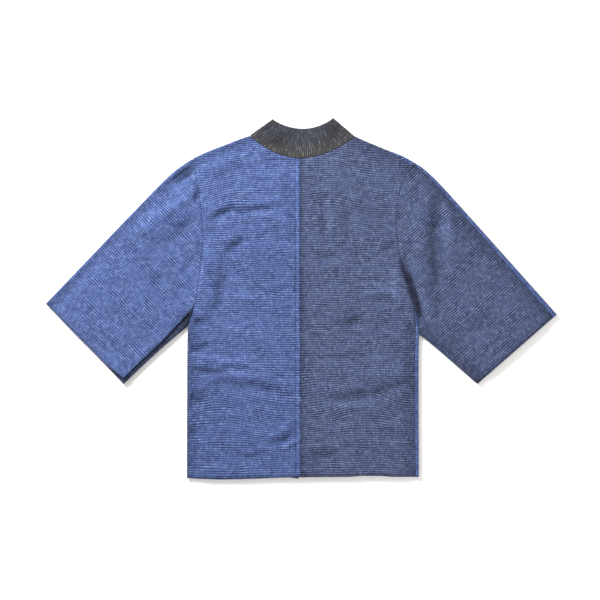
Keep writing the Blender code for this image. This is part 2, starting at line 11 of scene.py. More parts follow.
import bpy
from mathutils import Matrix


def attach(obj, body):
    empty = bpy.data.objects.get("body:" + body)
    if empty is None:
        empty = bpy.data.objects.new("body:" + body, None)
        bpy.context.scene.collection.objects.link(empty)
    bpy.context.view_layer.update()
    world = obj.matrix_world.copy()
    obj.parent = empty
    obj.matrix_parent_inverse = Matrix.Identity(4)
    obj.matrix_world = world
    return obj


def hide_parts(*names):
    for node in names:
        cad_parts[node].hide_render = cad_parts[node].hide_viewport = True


bl_info = {
    "name": "Kimono jacket laid out flat",
    "version": (1, 0, 0),
    "blender": (4, 5, 0),
    "location": "3D View > Sidebar > Kimono",
    "description": "Makes the cloth, neck band, sewing and studio of a flat kimono jacket",
    "category": "Add Mesh",
}

from collections import namedtuple
from math import cos, pi, sin

import bpy
import numpy as np
from mathutils import Vector

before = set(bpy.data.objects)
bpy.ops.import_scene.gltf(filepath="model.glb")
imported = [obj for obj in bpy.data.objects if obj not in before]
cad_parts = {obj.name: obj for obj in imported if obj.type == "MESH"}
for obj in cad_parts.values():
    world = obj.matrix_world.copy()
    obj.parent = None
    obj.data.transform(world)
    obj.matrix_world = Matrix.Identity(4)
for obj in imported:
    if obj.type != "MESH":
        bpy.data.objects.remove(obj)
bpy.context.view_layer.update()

CLOTH_MAP = "cloth"
BAKE_MAP = "OFBake"

Spot = namedtuple("Spot", "x y")
Crease = namedtuple("Crease", "path width depth lip")
Bump = namedtuple("Bump", "x y reach_x reach_y rise")
Wave = namedtuple("Wave", "x rise")
Slant = namedtuple("Slant", "x y reach_x reach_y rate")
Stretch = namedtuple("Stretch", "line rolled strip strip_end")
Cut = namedtuple("Cut", "width length area")
Tone = namedtuple("Tone", "inset width strength")
Ramp = namedtuple("Ramp", "low high size")
Drift = namedtuple("Drift", "x y from_x from_y size")
Grain = namedtuple("Grain", "x y from_x from_y detail")
RidgeGrain = namedtuple("RidgeGrain", "length jump step")
UpperColumn = namedtuple("UpperColumn", "s_out s_in on_roll roll_out roll_in offset")
LowerColumn = namedtuple("LowerColumn", "s_out s_in z_out z_in on_top held seam")
Sleeve = namedtuple(
    "Sleeve", "side heading ends tip upper under cuff_bend upper_lift under_lift sink edge_dark end_dark"
)

# How the layers lie, as in the solids
SEAM_GAP = 0.0003
HALF_GAP = SEAM_GAP / 2
EDGE_ROLL = 0.0039
UPPER_LAY = 0.0039
LEAST_LAY = 0.0024
PLAIN_CLOTH = 0.0020
AIR_UNDER = Ramp(0.004, 0.034, 0.0046)
NECK_ROOM = 0.012
CALM_EDGE = Ramp(0, 0.009, 1)
NECK_AIR = 0.0010
PILLOW_FALL = 0.010
BAND_ROLL = 0.0044
BAND_CLOTH = 0.0030
QUARTER_ROLL = EDGE_ROLL * pi / 2
ROW_ARCH = 0.055
ARCH_HALF_WIDTH = 0.200
ARCH_MIDDLE = -0.020
HEM_WAVE_REACH = 0.030
SLANT_CALM = Ramp(0, 0.060, 1)
SWAY_CALM = Ramp(0, 0.030, 1)
MOST_SLANT = 12

# The outline, from places that a cutter would mark
NECK_LEFT = Spot(-0.102, 0.328)
NECK_RIGHT = Spot(0.107, 0.326)
COLLAR_LEFT = Spot(-0.056, 0.361)
COLLAR_RIGHT = Spot(0.064, 0.363)
NECK_DIP = Spot(-0.002, 0.282)
COLLAR_DIP = Spot(0.004, 0.341)
SHOULDER_LEFT = (Spot(-0.216, 0.282), Spot(-0.190, 0.295), Spot(-0.150, 0.310), NECK_LEFT)
SHOULDER_RIGHT_OUTER = (Spot(0.231, 0.271), Spot(0.205, 0.286), Spot(0.182, 0.295))
SHOULDER_RIGHT_INNER = (Spot(0.182, 0.295), Spot(0.142, 0.311), NECK_RIGHT)
SLEEVE_TOP_LEFT = (Spot(-0.510, -0.008), Spot(-0.282, 0.231), Spot(-0.246, 0.263), Spot(-0.216, 0.282))
SLEEVE_TOP_RIGHT = (Spot(0.511, -0.030), Spot(0.278, 0.231), Spot(0.246, 0.261), Spot(0.231, 0.271))
SLEEVE_UNDER_LEFT = (Spot(-0.354, -0.169), Spot(-0.314, -0.130), Spot(-0.270, -0.090), Spot(-0.226, -0.053))
SLEEVE_UNDER_RIGHT = (Spot(0.352, -0.169), Spot(0.250, -0.080), Spot(0.236, -0.071))
ARMHOLE_LEFT_LOW = (Spot(-0.226, -0.053), Spot(-0.218, -0.030), Spot(-0.210, -0.004))
ARMHOLE_LEFT_HIGH = (
    Spot(-0.210, -0.004),
    Spot(-0.201, 0.053),
    Spot(-0.193, 0.123),
    Spot(-0.201, 0.203),
    Spot(-0.210, 0.253),
    Spot(-0.216, 0.282),
)
ARMHOLE_RIGHT_LOW = (Spot(0.236, -0.071), Spot(0.2325, -0.038), Spot(0.226, -0.006))
ARMHOLE_RIGHT_HIGH = (
    Spot(0.226, -0.006),
    Spot(0.222, 0.012),
    Spot(0.197, 0.075),
    Spot(0.189, 0.160),
    Spot(0.196, 0.215),
    Spot(0.209, 0.250),
    Spot(0.231, 0.271),
)
HEM_HEIGHT = -0.357
SIDE_LEFT = (Spot(-0.228, -0.372), Spot(-0.2275, -0.102), Spot(-0.226, -0.053))
SIDE_RIGHT = (Spot(0.2355, -0.372), Spot(0.2345, -0.120), Spot(0.236, -0.071))
CENTRE_BACK = (Spot(0.000, -0.372), Spot(-0.0012, 0.282))
FRONT_HEM_HEIGHT = -0.354
NECK_TIP = 0.0014
SLEEVE_TIP_LEFT = 0.0020
SLEEVE_TIP_RIGHT = 0.0004
BAND_SEAM_AT_HEM = 0.062
BAND_EDGE_AT_HEM = 0.004
BAND_SWING = 0.180

# How the back hem waves away from a straight line
HEM_WAVE = (
    Wave(-0.228, 0.0010),
    Wave(-0.210, -0.0005),
    Wave(-0.160, -0.0018),
    Wave(-0.120, -0.0012),
    Wave(-0.070, 0.0004),
    Wave(-0.030, 0.0016),
    Wave(0.040, 0.0026),
    Wave(0.100, 0.0030),
    Wave(0.122, 0.0050),
    Wave(0.160, 0.0048),
    Wave(0.182, 0.0030),
    Wave(0.234, 0.0030),
)

# How far the front hems show below the back hem
FRONT_PEEK = (
    Wave(-0.228, 0.0006),
    Wave(-0.170, 0.0012),
    Wave(-0.060, 0.0008),
    Wave(0.100, -0.0010),
    Wave(0.140, 0.0006),
)

# Places where the ridges of the back slant, as rise over run
BODY_SLANTS = (
    Slant(-0.165, 0.226, 0.062, 0.056, 0.30),
    Slant(-0.080, 0.190, 0.050, 0.040, 0.07),
    Slant(-0.100, -0.220, 0.084, 0.060, -0.26),
    Slant(-0.190, -0.090, 0.040, 0.040, 0.10),
    Slant(0.110, 0.215, 0.070, 0.055, -0.22),
    Slant(0.170, 0.120, 0.050, 0.040, -0.12),
    Slant(0.068, -0.206, 0.062, 0.045, 0.26),
    Slant(0.184, -0.206, 0.044, 0.045, -0.22),
    Slant(0.060, -0.150, 0.050, 0.036, -0.10),
)

# Creases of the upper cloth: a trough along each path, or a ridge where the depth is below zero, with lips
CREASES = (
    # Left half of the back
    Crease(((-0.184, 0.154), (-0.160, 0.172), (-0.137, 0.180)), 0.0085, 0.0042, 0.0012),
    Crease(((-0.150, 0.179), (-0.110, 0.176), (-0.070, 0.178), (-0.030, 0.186)), 0.0075, 0.0036, 0.0010),
    Crease(((-0.110, 0.124), (-0.132, 0.106), (-0.152, 0.090)), 0.0100, 0.0050, 0.0008),
    Crease(((-0.150, 0.086), (-0.156, 0.030), (-0.164, 0.000), (-0.180, -0.036)), 0.0120, 0.0044, 0.0000),
    Crease(((-0.176, 0.110), (-0.190, 0.060), (-0.206, 0.000)), 0.0100, -0.0022, 0.0000),
    Crease(((-0.214, -0.048), (-0.200, -0.046), (-0.186, -0.044)), 0.0075, 0.0044, 0.0004),
    Crease(((-0.224, -0.094), (-0.204, -0.097), (-0.176, -0.092)), 0.0075, 0.0050, 0.0005),
    Crease(((-0.222, -0.115), (-0.170, -0.120), (-0.120, -0.128), (-0.070, -0.138)), 0.0080, -0.0034, 0.0000),
    Crease(((-0.224, -0.140), (-0.190, -0.143), (-0.150, -0.152)), 0.0075, 0.0050, 0.0006),
    Crease(((-0.172, -0.168), (-0.120, -0.170), (-0.070, -0.174), (-0.016, -0.196)), 0.0095, 0.0040, 0.0010),
    Crease(((-0.226, -0.196), (-0.208, -0.200), (-0.180, -0.192)), 0.0130, 0.0062, 0.0004),
    Crease(((-0.226, -0.260), (-0.200, -0.266)), 0.0100, 0.0036, 0.0002),
    Crease(((-0.066, -0.290), (-0.040, -0.284), (-0.008, -0.258)), 0.0085, 0.0034, 0.0026),
    Crease(((-0.130, -0.312), (-0.100, -0.318), (-0.078, -0.312)), 0.0080, 0.0026, 0.0004),
    Crease(((-0.134, 0.006), (-0.108, 0.002), (-0.078, -0.006)), 0.0080, -0.0028, 0.0000),
    Crease(((-0.090, -0.030), (-0.060, -0.034), (-0.020, -0.030)), 0.0090, 0.0014, 0.0003),
    Crease(((-0.016, 0.200), (-0.018, 0.150), (-0.018, 0.090)), 0.0070, 0.0014, 0.0000),
    Crease(((-0.180, 0.240), (-0.140, 0.256), (-0.100, 0.262)), 0.0100, 0.0014, 0.0004),
    Crease(((-0.190, -0.234), (-0.150, -0.246), (-0.110, -0.240)), 0.0100, 0.0014, 0.0004),
    # Right half of the back
    Crease(((0.030, -0.198), (0.090, -0.198), (0.150, -0.186), (0.222, -0.162)), 0.0105, 0.0032, 0.0014),
    Crease(((0.072, -0.054), (0.098, -0.046), (0.132, -0.036)), 0.0120, 0.0038, 0.0004),
    Crease(((0.138, 0.000), (0.164, 0.000), (0.190, -0.008)), 0.0080, 0.0038, 0.0006),
    Crease(((0.026, 0.088), (0.052, 0.084), (0.078, 0.088)), 0.0090, 0.0032, 0.0004),
    Crease(((0.048, 0.204), (0.046, 0.150), (0.050, 0.104)), 0.0080, 0.0026, 0.0000),
    Crease(((0.062, 0.212), (0.060, 0.160), (0.064, 0.110)), 0.0060, -0.0018, 0.0000),
    Crease(((0.092, 0.190), (0.096, 0.140), (0.090, 0.100)), 0.0100, 0.0026, 0.0000),
    Crease(((0.020, -0.308), (0.042, -0.313), (0.070, -0.308)), 0.0090, 0.0038, 0.0005),
    Crease(((0.130, 0.180), (0.160, 0.172), (0.182, 0.160)), 0.0080, 0.0030, 0.0004),
    Crease(((0.160, 0.096), (0.182, 0.106), (0.196, 0.120)), 0.0070, 0.0020, 0.0006),
    Crease(((0.060, -0.110), (0.100, -0.120), (0.140, -0.112)), 0.0090, 0.0012, 0.0006),
    Crease(((0.150, -0.262), (0.180, -0.270), (0.214, -0.262)), 0.0100, 0.0014, 0.0004),
    # The gap under the right arm
    Crease(((0.203, 0.076), (0.216, 0.038), (0.228, 0.004), (0.238, -0.044)), 0.0066, 0.0180, 0.0004),
    # Left sleeve
    Crease(((-0.212, 0.262), (-0.230, 0.248), (-0.252, 0.232)), 0.0085, 0.0062, 0.0006),
    Crease(((-0.204, 0.216), (-0.206, 0.206), (-0.207, 0.196)), 0.0060, 0.0044, 0.0004),
    Crease(((-0.214, 0.216), (-0.270, 0.176), (-0.334, 0.126)), 0.0120, -0.0034, 0.0000),
    Crease(((-0.206, 0.168), (-0.244, 0.138), (-0.304, 0.092)), 0.0140, 0.0036, 0.0000),
    Crease(((-0.276, 0.060), (-0.288, 0.040), (-0.284, 0.020)), 0.0120, 0.0018, 0.0000),
    Crease(((-0.240, 0.050), (-0.224, 0.068), (-0.206, 0.076)), 0.0080, 0.0012, 0.0006),
    Crease(((-0.340, -0.132), (-0.290, -0.086), (-0.240, -0.036)), 0.0100, -0.0020, 0.0000),
    Crease(((-0.420, 0.020), (-0.400, -0.020), (-0.370, -0.040)), 0.0120, 0.0010, 0.0004),
    # Right sleeve
    Crease(((0.274, 0.226), (0.269, 0.170), (0.267, 0.090), (0.273, -0.040)), 0.0125, 0.0058, 0.0008),
    Crease(((0.292, 0.200), (0.297, 0.150), (0.292, 0.090)), 0.0110, -0.0026, 0.0000),
    Crease(((0.306, 0.170), (0.336, 0.110), (0.350, 0.050)), 0.0120, 0.0016, 0.0000),
    Crease(((0.300, -0.090), (0.340, -0.060), (0.390, -0.040)), 0.0140, 0.0012, 0.0004),
)

# Broad rises and hollows of the upper cloth
BUMPS = (
    Bump(-0.030, 0.236, 0.030, 0.022, 0.0014),
    Bump(-0.110, -0.152, 0.050, 0.009, 0.0012),
    Bump(0.150, 0.016, 0.030, 0.012, 0.0016),
    Bump(0.192, 0.022, 0.013, 0.046, 0.0040),
    Bump(0.150, -0.148, 0.060, 0.011, 0.0016),
    Bump(0.124, -0.214, 0.030, 0.010, 0.0018),
    Bump(0.232, 0.130, 0.014, 0.060, 0.0016),
    Bump(0.262, -0.020, 0.012, 0.050, 0.0016),
)

# Darker and paler zones of the neck band where it stands at the back neck
BAND_TONES = (
    Bump(-0.021, 0.336, 0.022, 0.010, -2.0),
    Bump(0.066, 0.342, 0.013, 0.013, -1.5),
    Bump(-0.049, 0.316, 0.013, 0.009, -1.6),
    Bump(0.018, 0.299, 0.034, 0.010, 0.8),
)


class Unevenness:
    """Seeded smooth noise over two coordinates, from about -1 to 1."""

    side = 128

    def __init__(self, seed):
        self.grid = np.random.default_rng(seed).uniform(-1, 1, (self.side, self.side))

    def at(self, x, y):
        x, y = np.broadcast_arrays(x, y)
        column = np.floor(x).astype(int)
        row = np.floor(y).astype(int)
        along = x - column
        up = y - row
        along = along * along * (3 - 2 * along)
        up = up * up * (3 - 2 * up)
        near = column % self.side
        far = (column + 1) % self.side
        low = row % self.side
        high = (row + 1) % self.side
        bottom = self.grid[low, near] * (1 - along) + self.grid[low, far] * along
        top = self.grid[high, near] * (1 - along) + self.grid[high, far] * along
        return bottom * (1 - up) + top * up


SLUBS = Unevenness(3)
PRESSED = Unevenness(5)
SWAY = Unevenness(8)
RUMPLE = Unevenness(13)
PUCKER = Unevenness(21)


def rounded(spots, passes=3, cut=0.25):
    """A line through the marked places with its corners cut round and its ends kept."""
    line = np.array(spots, float)
    for _ in range(passes):
        near = line[:-1] * (1 - cut) + line[1:] * cut
        far = line[:-1] * cut + line[1:] * (1 - cut)
        middle = np.stack((near, far), axis=1).reshape(-1, 2)
        line = np.vstack((line[:1], middle[1:-1], line[-1:]))
    return line


# How the noise is used: lengths, starting place and size
CREASE_WANDER = Drift(0.030, 0.020, 3, 5, 0.0026)
CREASE_CHANGE = Drift(0.017, 0.014, 11, 17, 0.34)
BROAD_RUMPLES = Drift(0.056, 0.034, 31, 57, 0.00066)
SMALL_RUMPLES = Drift(0.034, 0.013, 7, 11, 0.00021)
PRESSED_PATCHES = Drift(0.050, 0.040, 0, 0, 0.20)
NEAR_SWAY = Drift(0.034, 0.015, 0, 0, 0.0016)
FAR_SWAY = Drift(0.070, 0.040, 40, 40, 0.0020)
SEAM_PUCKERS = Drift(0.0065, 0.04, 0, 0, 0.00022)
BAND_SHADE = Drift(0.036, 0.030, 0, 9, 1.1)
BAND_RISE = Drift(0.030, 0.024, 0, 0, 0.0003)
BAND_SWELL = Drift(0.011, 0.016, 0, 0, 0.05)

# How creases fade out at their ends, and how far from their middle their lips are, in widths
CREASE_FADE = Ramp(-0.15, 0.35, 1)
LIP_AWAY = 1.9

# Unevenness of the ridges: slubs along them, how the noise jumps from one to the next, and their crests
SLUB_LENGTH = 0.007
RIDGE_JUMP = 7.3
RIDGE_STEP = 0.77
RIDGE_MIDDLE = 0.86
SLUB_SHARE = 0.30
CREST_ROUND = 2.2


class Heading:
    """The direction of a piece's rows: s runs across the piece and t from row to row."""

    def __init__(self, origin, across, along):
        self.origin = np.array(origin, float)
        self.across = np.array(across, float)
        self.along = np.array(along, float)

    def measure(self, points):
        offset = np.asarray(points) - self.origin
        return offset @ self.across, offset @ self.along

    def plan(self, s, t):
        return self.origin + s[..., None] * self.across + t[..., None] * self.along


def cuff_heading(upper, lower, side):
    across = np.subtract(lower, upper)
    across = across / np.linalg.norm(across)
    along = np.array((-across[1], across[0])) * side
    return Heading(upper, across, along)


BODY = Heading((0, 0), (1, 0), (0, 1))
SLEEVE_LEFT = cuff_heading(SLEEVE_TOP_LEFT[0], SLEEVE_UNDER_LEFT[0], 1)
SLEEVE_RIGHT = cuff_heading(SLEEVE_TOP_RIGHT[0], SLEEVE_UNDER_RIGHT[0], -1)


class RowEnds:
    """Where one end of each row lies: across place, slant of the edge there, rolled or cut, strip width."""

    def __init__(self, stretches, heading, heights):
        self.across = np.zeros(len(heights))
        self.slant = np.ones(len(heights))
        self.strip = np.zeros(len(heights))
        self.rolled = np.zeros(len(heights), bool)
        for index, stretch in enumerate(stretches):
            s, t = heading.measure(stretch.line)
            here = heights >= t[0]
            if index == 0:
                here = np.ones(len(heights), bool)
            rate = np.interp(heights, t, np.gradient(s, t))
            share = np.clip((heights - t[0]) / (t[-1] - t[0]), 0, 1)
            strip = stretch.strip + (stretch.strip_end - stretch.strip) * share
            self.across = np.where(here, np.interp(heights, t, s), self.across)
            self.slant = np.where(here, np.minimum(np.hypot(1, rate), MOST_SLANT), self.slant)
            self.strip = np.where(here, strip, self.strip)
            self.rolled = np.where(here, stretch.rolled, self.rolled)


def settle(guess, step, repeats=12):
    """Repeats a step that closes in on a steady value."""
    value = guess
    for _ in range(repeats):
        value = step(value)
    return value


def hem_wave(s, waves):
    return np.interp(s, [wave.x for wave in waves], [wave.rise for wave in waves])


def body_bend(s, t):
    """How far a ridge of the back lies above or below its straight row."""
    outward = (1 - np.cos(pi * np.minimum(np.abs(s) / ARCH_HALF_WIDTH, 1))) / 2
    arch = -ROW_ARCH * (t - HEM_HEIGHT) * (t - ARCH_MIDDLE) * outward
    slanted = 0 * s * t
    for slant in BODY_SLANTS:
        run = s - slant.x
        reach = (run / slant.reach_x) ** 2 + ((t - slant.y) / slant.reach_y) ** 2
        slanted = slanted + slant.rate * run * np.exp(-reach)
    calm = ramp(t - HEM_HEIGHT, SLANT_CALM)
    return arch + slanted * calm + hem_wave(s, HEM_WAVE) * np.exp(-(t - HEM_HEIGHT) / HEM_WAVE_REACH)


def front_bend(s, t):
    """How far a row of the fronts lies above or below its straight line near the hem."""
    below = HEM_HEIGHT + hem_wave(s, HEM_WAVE) - hem_wave(s, FRONT_PEEK)
    return (below - FRONT_HEM_HEIGHT) * np.exp(-(t - FRONT_HEM_HEIGHT) / HEM_WAVE_REACH)


def no_bend(s, t):
    return 0 * s


def nearest_on(points, line):
    """Distance to a line of places, share of the way along it, and the side: above or left is positive."""
    lengths = np.linalg.norm(np.diff(line, axis=0), axis=1)
    starts = np.concatenate(([0], np.cumsum(lengths)))
    best = np.full(points.shape[:-1], 1.0)
    share_along = np.zeros(points.shape[:-1])
    side = np.zeros(points.shape[:-1])
    for index, (a, b) in enumerate(zip(line[:-1], line[1:])):
        run = b - a
        share = ((points - a) @ run) / (run @ run)
        held = np.clip(share, 0, 1)
        offset = points - a - held[..., None] * run
        gap = np.linalg.norm(offset, axis=-1)
        here = gap < best
        best = np.where(here, gap, best)
        share_along = np.where(here, (starts[index] + held * lengths[index]) / starts[-1], share_along)
        turn = run[0] * offset[..., 1] - run[1] * offset[..., 0]
        side = np.where(here, np.sign(turn), side)
    return best, share_along, side


ROLLED_EDGES = [
    rounded(edge)
    for edge in (
        SHOULDER_LEFT,
        SHOULDER_RIGHT_OUTER,
        SHOULDER_RIGHT_INNER,
        SLEEVE_TOP_LEFT,
        SLEEVE_TOP_RIGHT,
        SLEEVE_UNDER_LEFT,
        SLEEVE_UNDER_RIGHT,
        SIDE_LEFT,
        SIDE_RIGHT,
    )
]


def from_rolled_edge(points):
    return np.min([nearest_on(points, edge)[0] for edge in ROLLED_EDGES], axis=0)


def from_neck(points):
    return nearest_on(points, np.array((NECK_LEFT, NECK_DIP, NECK_RIGHT)))[0]


def smooth_share(value, low, high):
    share = np.clip((value - low) / (high - low), 0, 1)
    return share * share * (3 - 2 * share)


def bumped(points, bumps):
    """The sum of smooth bumps at each place."""
    rise = np.zeros(points.shape[:-1])
    for bump in bumps:
        across = (points[..., 0] - bump.x) / bump.reach_x
        up = (points[..., 1] - bump.y) / bump.reach_y
        rise = rise + bump.rise * np.exp(-(across**2 + up**2))
    return rise


def bell(value, width):
    return np.exp(-((value / width) ** 2))


def ramp(value, step):
    """Rises softly from 0 to a size between two places."""
    return step.size * smooth_share(value, step.low, step.high)


def drift(noise, kind, x, y):
    """Smooth noise with its own lengths, starting place and size."""
    return kind.size * noise.at(x / kind.x + kind.from_x, y / kind.y + kind.from_y)


def soft_lines(inset, tones):
    """The sum of soft lines that run beside a seam."""
    return sum(tone.strength * bell(inset - tone.inset, tone.width) for tone in tones)


def creases(points, depth):
    """The rise of the cloth from its creases and bumps.

    The creases wander and change in strength along their way, and fade out at their ends.
    """
    rise = np.zeros(points.shape[:-1])
    x = points[..., 0]
    y = points[..., 1]
    wander = drift(RUMPLE, CREASE_WANDER, x, y)
    strength = 1 + drift(RUMPLE, CREASE_CHANGE, x, y)
    for crease in CREASES:
        gap, share, side = nearest_on(points, rounded(crease.path, 2))
        fade = ramp(share, CREASE_FADE) * ramp(1 - share, CREASE_FADE)
        across = gap * side + wander
        trough = crease.depth * bell(across, crease.width)
        lip = crease.lip * bell(np.abs(across) - LIP_AWAY * crease.width, crease.width)
        rise = rise + depth * fade * strength * (lip - trough)
    return rise + depth * bumped(points, BUMPS)


def rumples(points):
    """Slight waviness that soft cloth keeps all over."""
    x = points[..., 0]
    y = points[..., 1]
    return drift(RUMPLE, BROAD_RUMPLES, x, y) + drift(RUMPLE, SMALL_RUMPLES, x, y)


def upper_lay(points, folds):
    """Height of the inside of the upper cloth: fuller along the rolled edges, and with the given folds."""
    edge = from_rolled_edge(points)
    inward = np.maximum(edge - EDGE_ROLL, 0)
    full = EDGE_ROLL + (EDGE_ROLL - PLAIN_CLOTH) - UPPER_LAY
    pillow = full * bell(inward, PILLOW_FALL)
    roomy = np.minimum(inward, from_neck(points) + NECK_ROOM)
    air = ramp(roomy, AIR_UNDER)
    calm = ramp(inward, CALM_EDGE)
    return np.maximum(UPPER_LAY + air + pillow + (folds + rumples(points)) * calm, LEAST_LAY)


def shading(points, folds, edge_dark):
    """Painted shade and painted highlight: how far off its middle tone the cloth is painted, darker in
    troughs and along edges, paler on ridges.
    """
    edge = bell(from_rolled_edge(points), SHADE_EDGE)
    return np.clip(folds / SHADE_DEPTH, DARKEST_PAINTED_SHADE, PALEST_PAINTED_HIGHLIGHT) - edge_dark * edge


def arc_at(inset):
    """Place along the outside of the roll, from its outermost line, for an inset in plan."""
    bend = EDGE_ROLL * np.arccos(1 - np.clip(inset / EDGE_ROLL, 0, 1))
    return bend + np.maximum(inset - EDGE_ROLL, 0)


def roll_section(arc, relief, cloth):
    """Outside and inside of the rolled edge at a place along it: plan insets and heights."""
    turn = np.clip(arc / EDGE_ROLL, -pi / 2, pi / 2)
    beyond = np.maximum(np.abs(arc) - QUARTER_ROLL, 0)
    reach = EDGE_ROLL + relief
    within = EDGE_ROLL - cloth
    outside = (EDGE_ROLL - reach * np.cos(turn) + beyond, EDGE_ROLL + reach * np.sin(turn))
    inside = (EDGE_ROLL - within * np.cos(turn) + beyond, EDGE_ROLL + within * np.sin(turn))
    return outside, inside


def ridge_relief(s, t, cloth):
    """Height of the ridged face at a place on the cloth, uneven as slubby yarn makes it."""
    share = np.mod(t / cloth.rib_pitch, 1)
    number = np.floor(t / cloth.rib_pitch)
    crest = 1 - np.abs(2 * share - 1) ** CREST_ROUND
    slub = SLUBS.at(s / SLUB_LENGTH + number * RIDGE_JUMP, number * RIDGE_STEP)
    uneven = RIDGE_MIDDLE + SLUB_SHARE * slub + drift(PRESSED, PRESSED_PATCHES, s, t)
    return cloth.rib_height * crest * uneven


def row_sway(s, t):
    """How far a ridge wanders from its line."""
    return drift(SWAY, NEAR_SWAY, s, t) + drift(SWAY, FAR_SWAY, s, t)


SEAM_GROOVE = 0.0100
# Steps inwards from an edge at which the upper cloth has its columns, close where a seam or fold shapes it
EDGE_STEPS = np.array((0, 0.4, 0.9, 1.5, 2.3, 3.2, 4.3, 5.6, 7.0, 8.4, 9.4, 10.0, 10.6, 11.4, 13.0)) / 1000
GROUND_STEPS = np.array((0, 1.0, 2.5, 5.0, 9.0)) / 1000
ROWS_A_RIDGE = 4
INNER_EVERY = 4
EDGE_ROWS = np.array((0, 0.1, 0.35, 0.8)) / 1000
# Places across the bake map: the outside, then the inside, then the rims
BAKE_MARGIN = 0.004
SHELL_OUTSIDE_END, SHELL_INSIDE_START = 0.74, 0.76
MASKED_OUTSIDE_END, MASKED_INSIDE_START = 0.60, 0.62
INSIDE_END, RIM_START, RIM_END = 0.96, 0.97, 0.99
TINY = 1e-9
# Painted shade and painted highlight kept on each point: the map's name, the fold depth for one full step,
# the darkest and palest steps, and how far in from edges and hems the painted shade reaches
SHADE_MAP = "shade"
SHADE_DEPTH = 0.0045
DARKEST_PAINTED_SHADE = -3.0
PALEST_PAINTED_HIGHLIGHT = 0.9
SHADE_EDGE = 0.023
SHADE_END = 0.016
SEAM_DEPTH = 0.0011
SEAM_REACH = 0.0011
HEM_STEP = 0.0008
HEM_GROOVE = 0.0004
HEM_GROOVE_WIDTH = 0.0009
HEM_DROP = Ramp(0, 0.0055, 0.70)
PUCKER_REACH = 0.006
LEAST_EDGE = 0.05
TOUCH = 0.0001
VALLEY_SHARE = 1.35
LEAST_ROOM = 0.02
# Most of a row that the columns of one edge may take
UPPER_ROOM = 0.46
LOWER_ROOM = 0.42
MOST_CUT = 0.5


def rim_between(fine, coarse, picks):
    """Triangles between a fine border and a coarse one that meets it at its picked places."""
    found = []
    for k in range(len(picks) - 1):
        for i in range(picks[k], picks[k + 1]):
            found.append((fine[i], fine[i + 1], coarse[k]))
        found.append((fine[picks[k + 1]], coarse[k + 1], coarse[k]))
    return found


def grid_corners(rows, columns, first):
    return first + np.arange(rows * columns).reshape(rows, columns)


def grid_quads(corner):
    quads = np.stack((corner[:-1, :-1], corner[:-1, 1:], corner[1:, 1:], corner[1:, :-1]), axis=-1)
    return quads.reshape(-1, 4)


def every(count, step, extra=()):
    """Numbers from 0 to count - 1 by a step, with the last one and some extra ones."""
    return np.array(sorted({*range(0, count, step), count - 1, *extra}))


def chart(values, low, high):
    """Puts numbers evenly between two places."""
    span = max(values.max() - values.min(), TINY)
    return low + (high - low) * (values - values.min()) / span


def rim_places(count, picks):
    """Places on the bake map for the faces of a rim, one above the other."""
    found = []
    for number in range(count):
        low = BAKE_MARGIN + (1 - 2 * BAKE_MARGIN) * number / count
        high = BAKE_MARGIN + (1 - 2 * BAKE_MARGIN) * (number + 1) / count
        box = ((RIM_START, low), (RIM_START, high), (RIM_END, high), (RIM_END, low))
        found.append([box[pick] for pick in picks])
    return found


def finish_cloth(name, points, faces, cloth_places, bake_places, shades, look):
    """Makes the mesh object of a closed shell, facing outwards, with its two maps and its finish."""
    corners = [points[[face[k] for face in faces]] for k in range(3)]
    volume = np.einsum("ij,ij->", corners[0], np.cross(corners[1], corners[2]))
    last = points[[face[-1] for face in faces]]
    volume += np.einsum("ij,ij->", corners[0], np.cross(corners[2], last))
    order = slice(None) if volume > 0 else slice(None, None, -1)
    faces = [face[order] for face in faces]
    bake_places = [places[order] for places in bake_places]
    mesh = bpy.data.meshes.new(name)
    mesh.from_pydata(points.tolist(), [], faces)
    loops = np.array([corner for face in faces for corner in face])
    cloth_map = mesh.uv_layers.new(name=CLOTH_MAP)
    cloth_map.uv.foreach_set("vector", cloth_places[loops].astype(np.float32).ravel())
    bake_map = mesh.uv_layers.new(name=BAKE_MAP)
    flat = np.array([place for places in bake_places for place in places], np.float32)
    bake_map.uv.foreach_set("vector", flat.ravel())
    mesh.uv_layers.active = bake_map
    mesh.attributes.new(SHADE_MAP, "FLOAT", "POINT").data.foreach_set("value", shades.astype(np.float32))
    mesh.shade_smooth()
    mesh.materials.append(look)
    item = bpy.data.objects.new(name, mesh)
    bpy.context.scene.collection.objects.link(item)
    return item


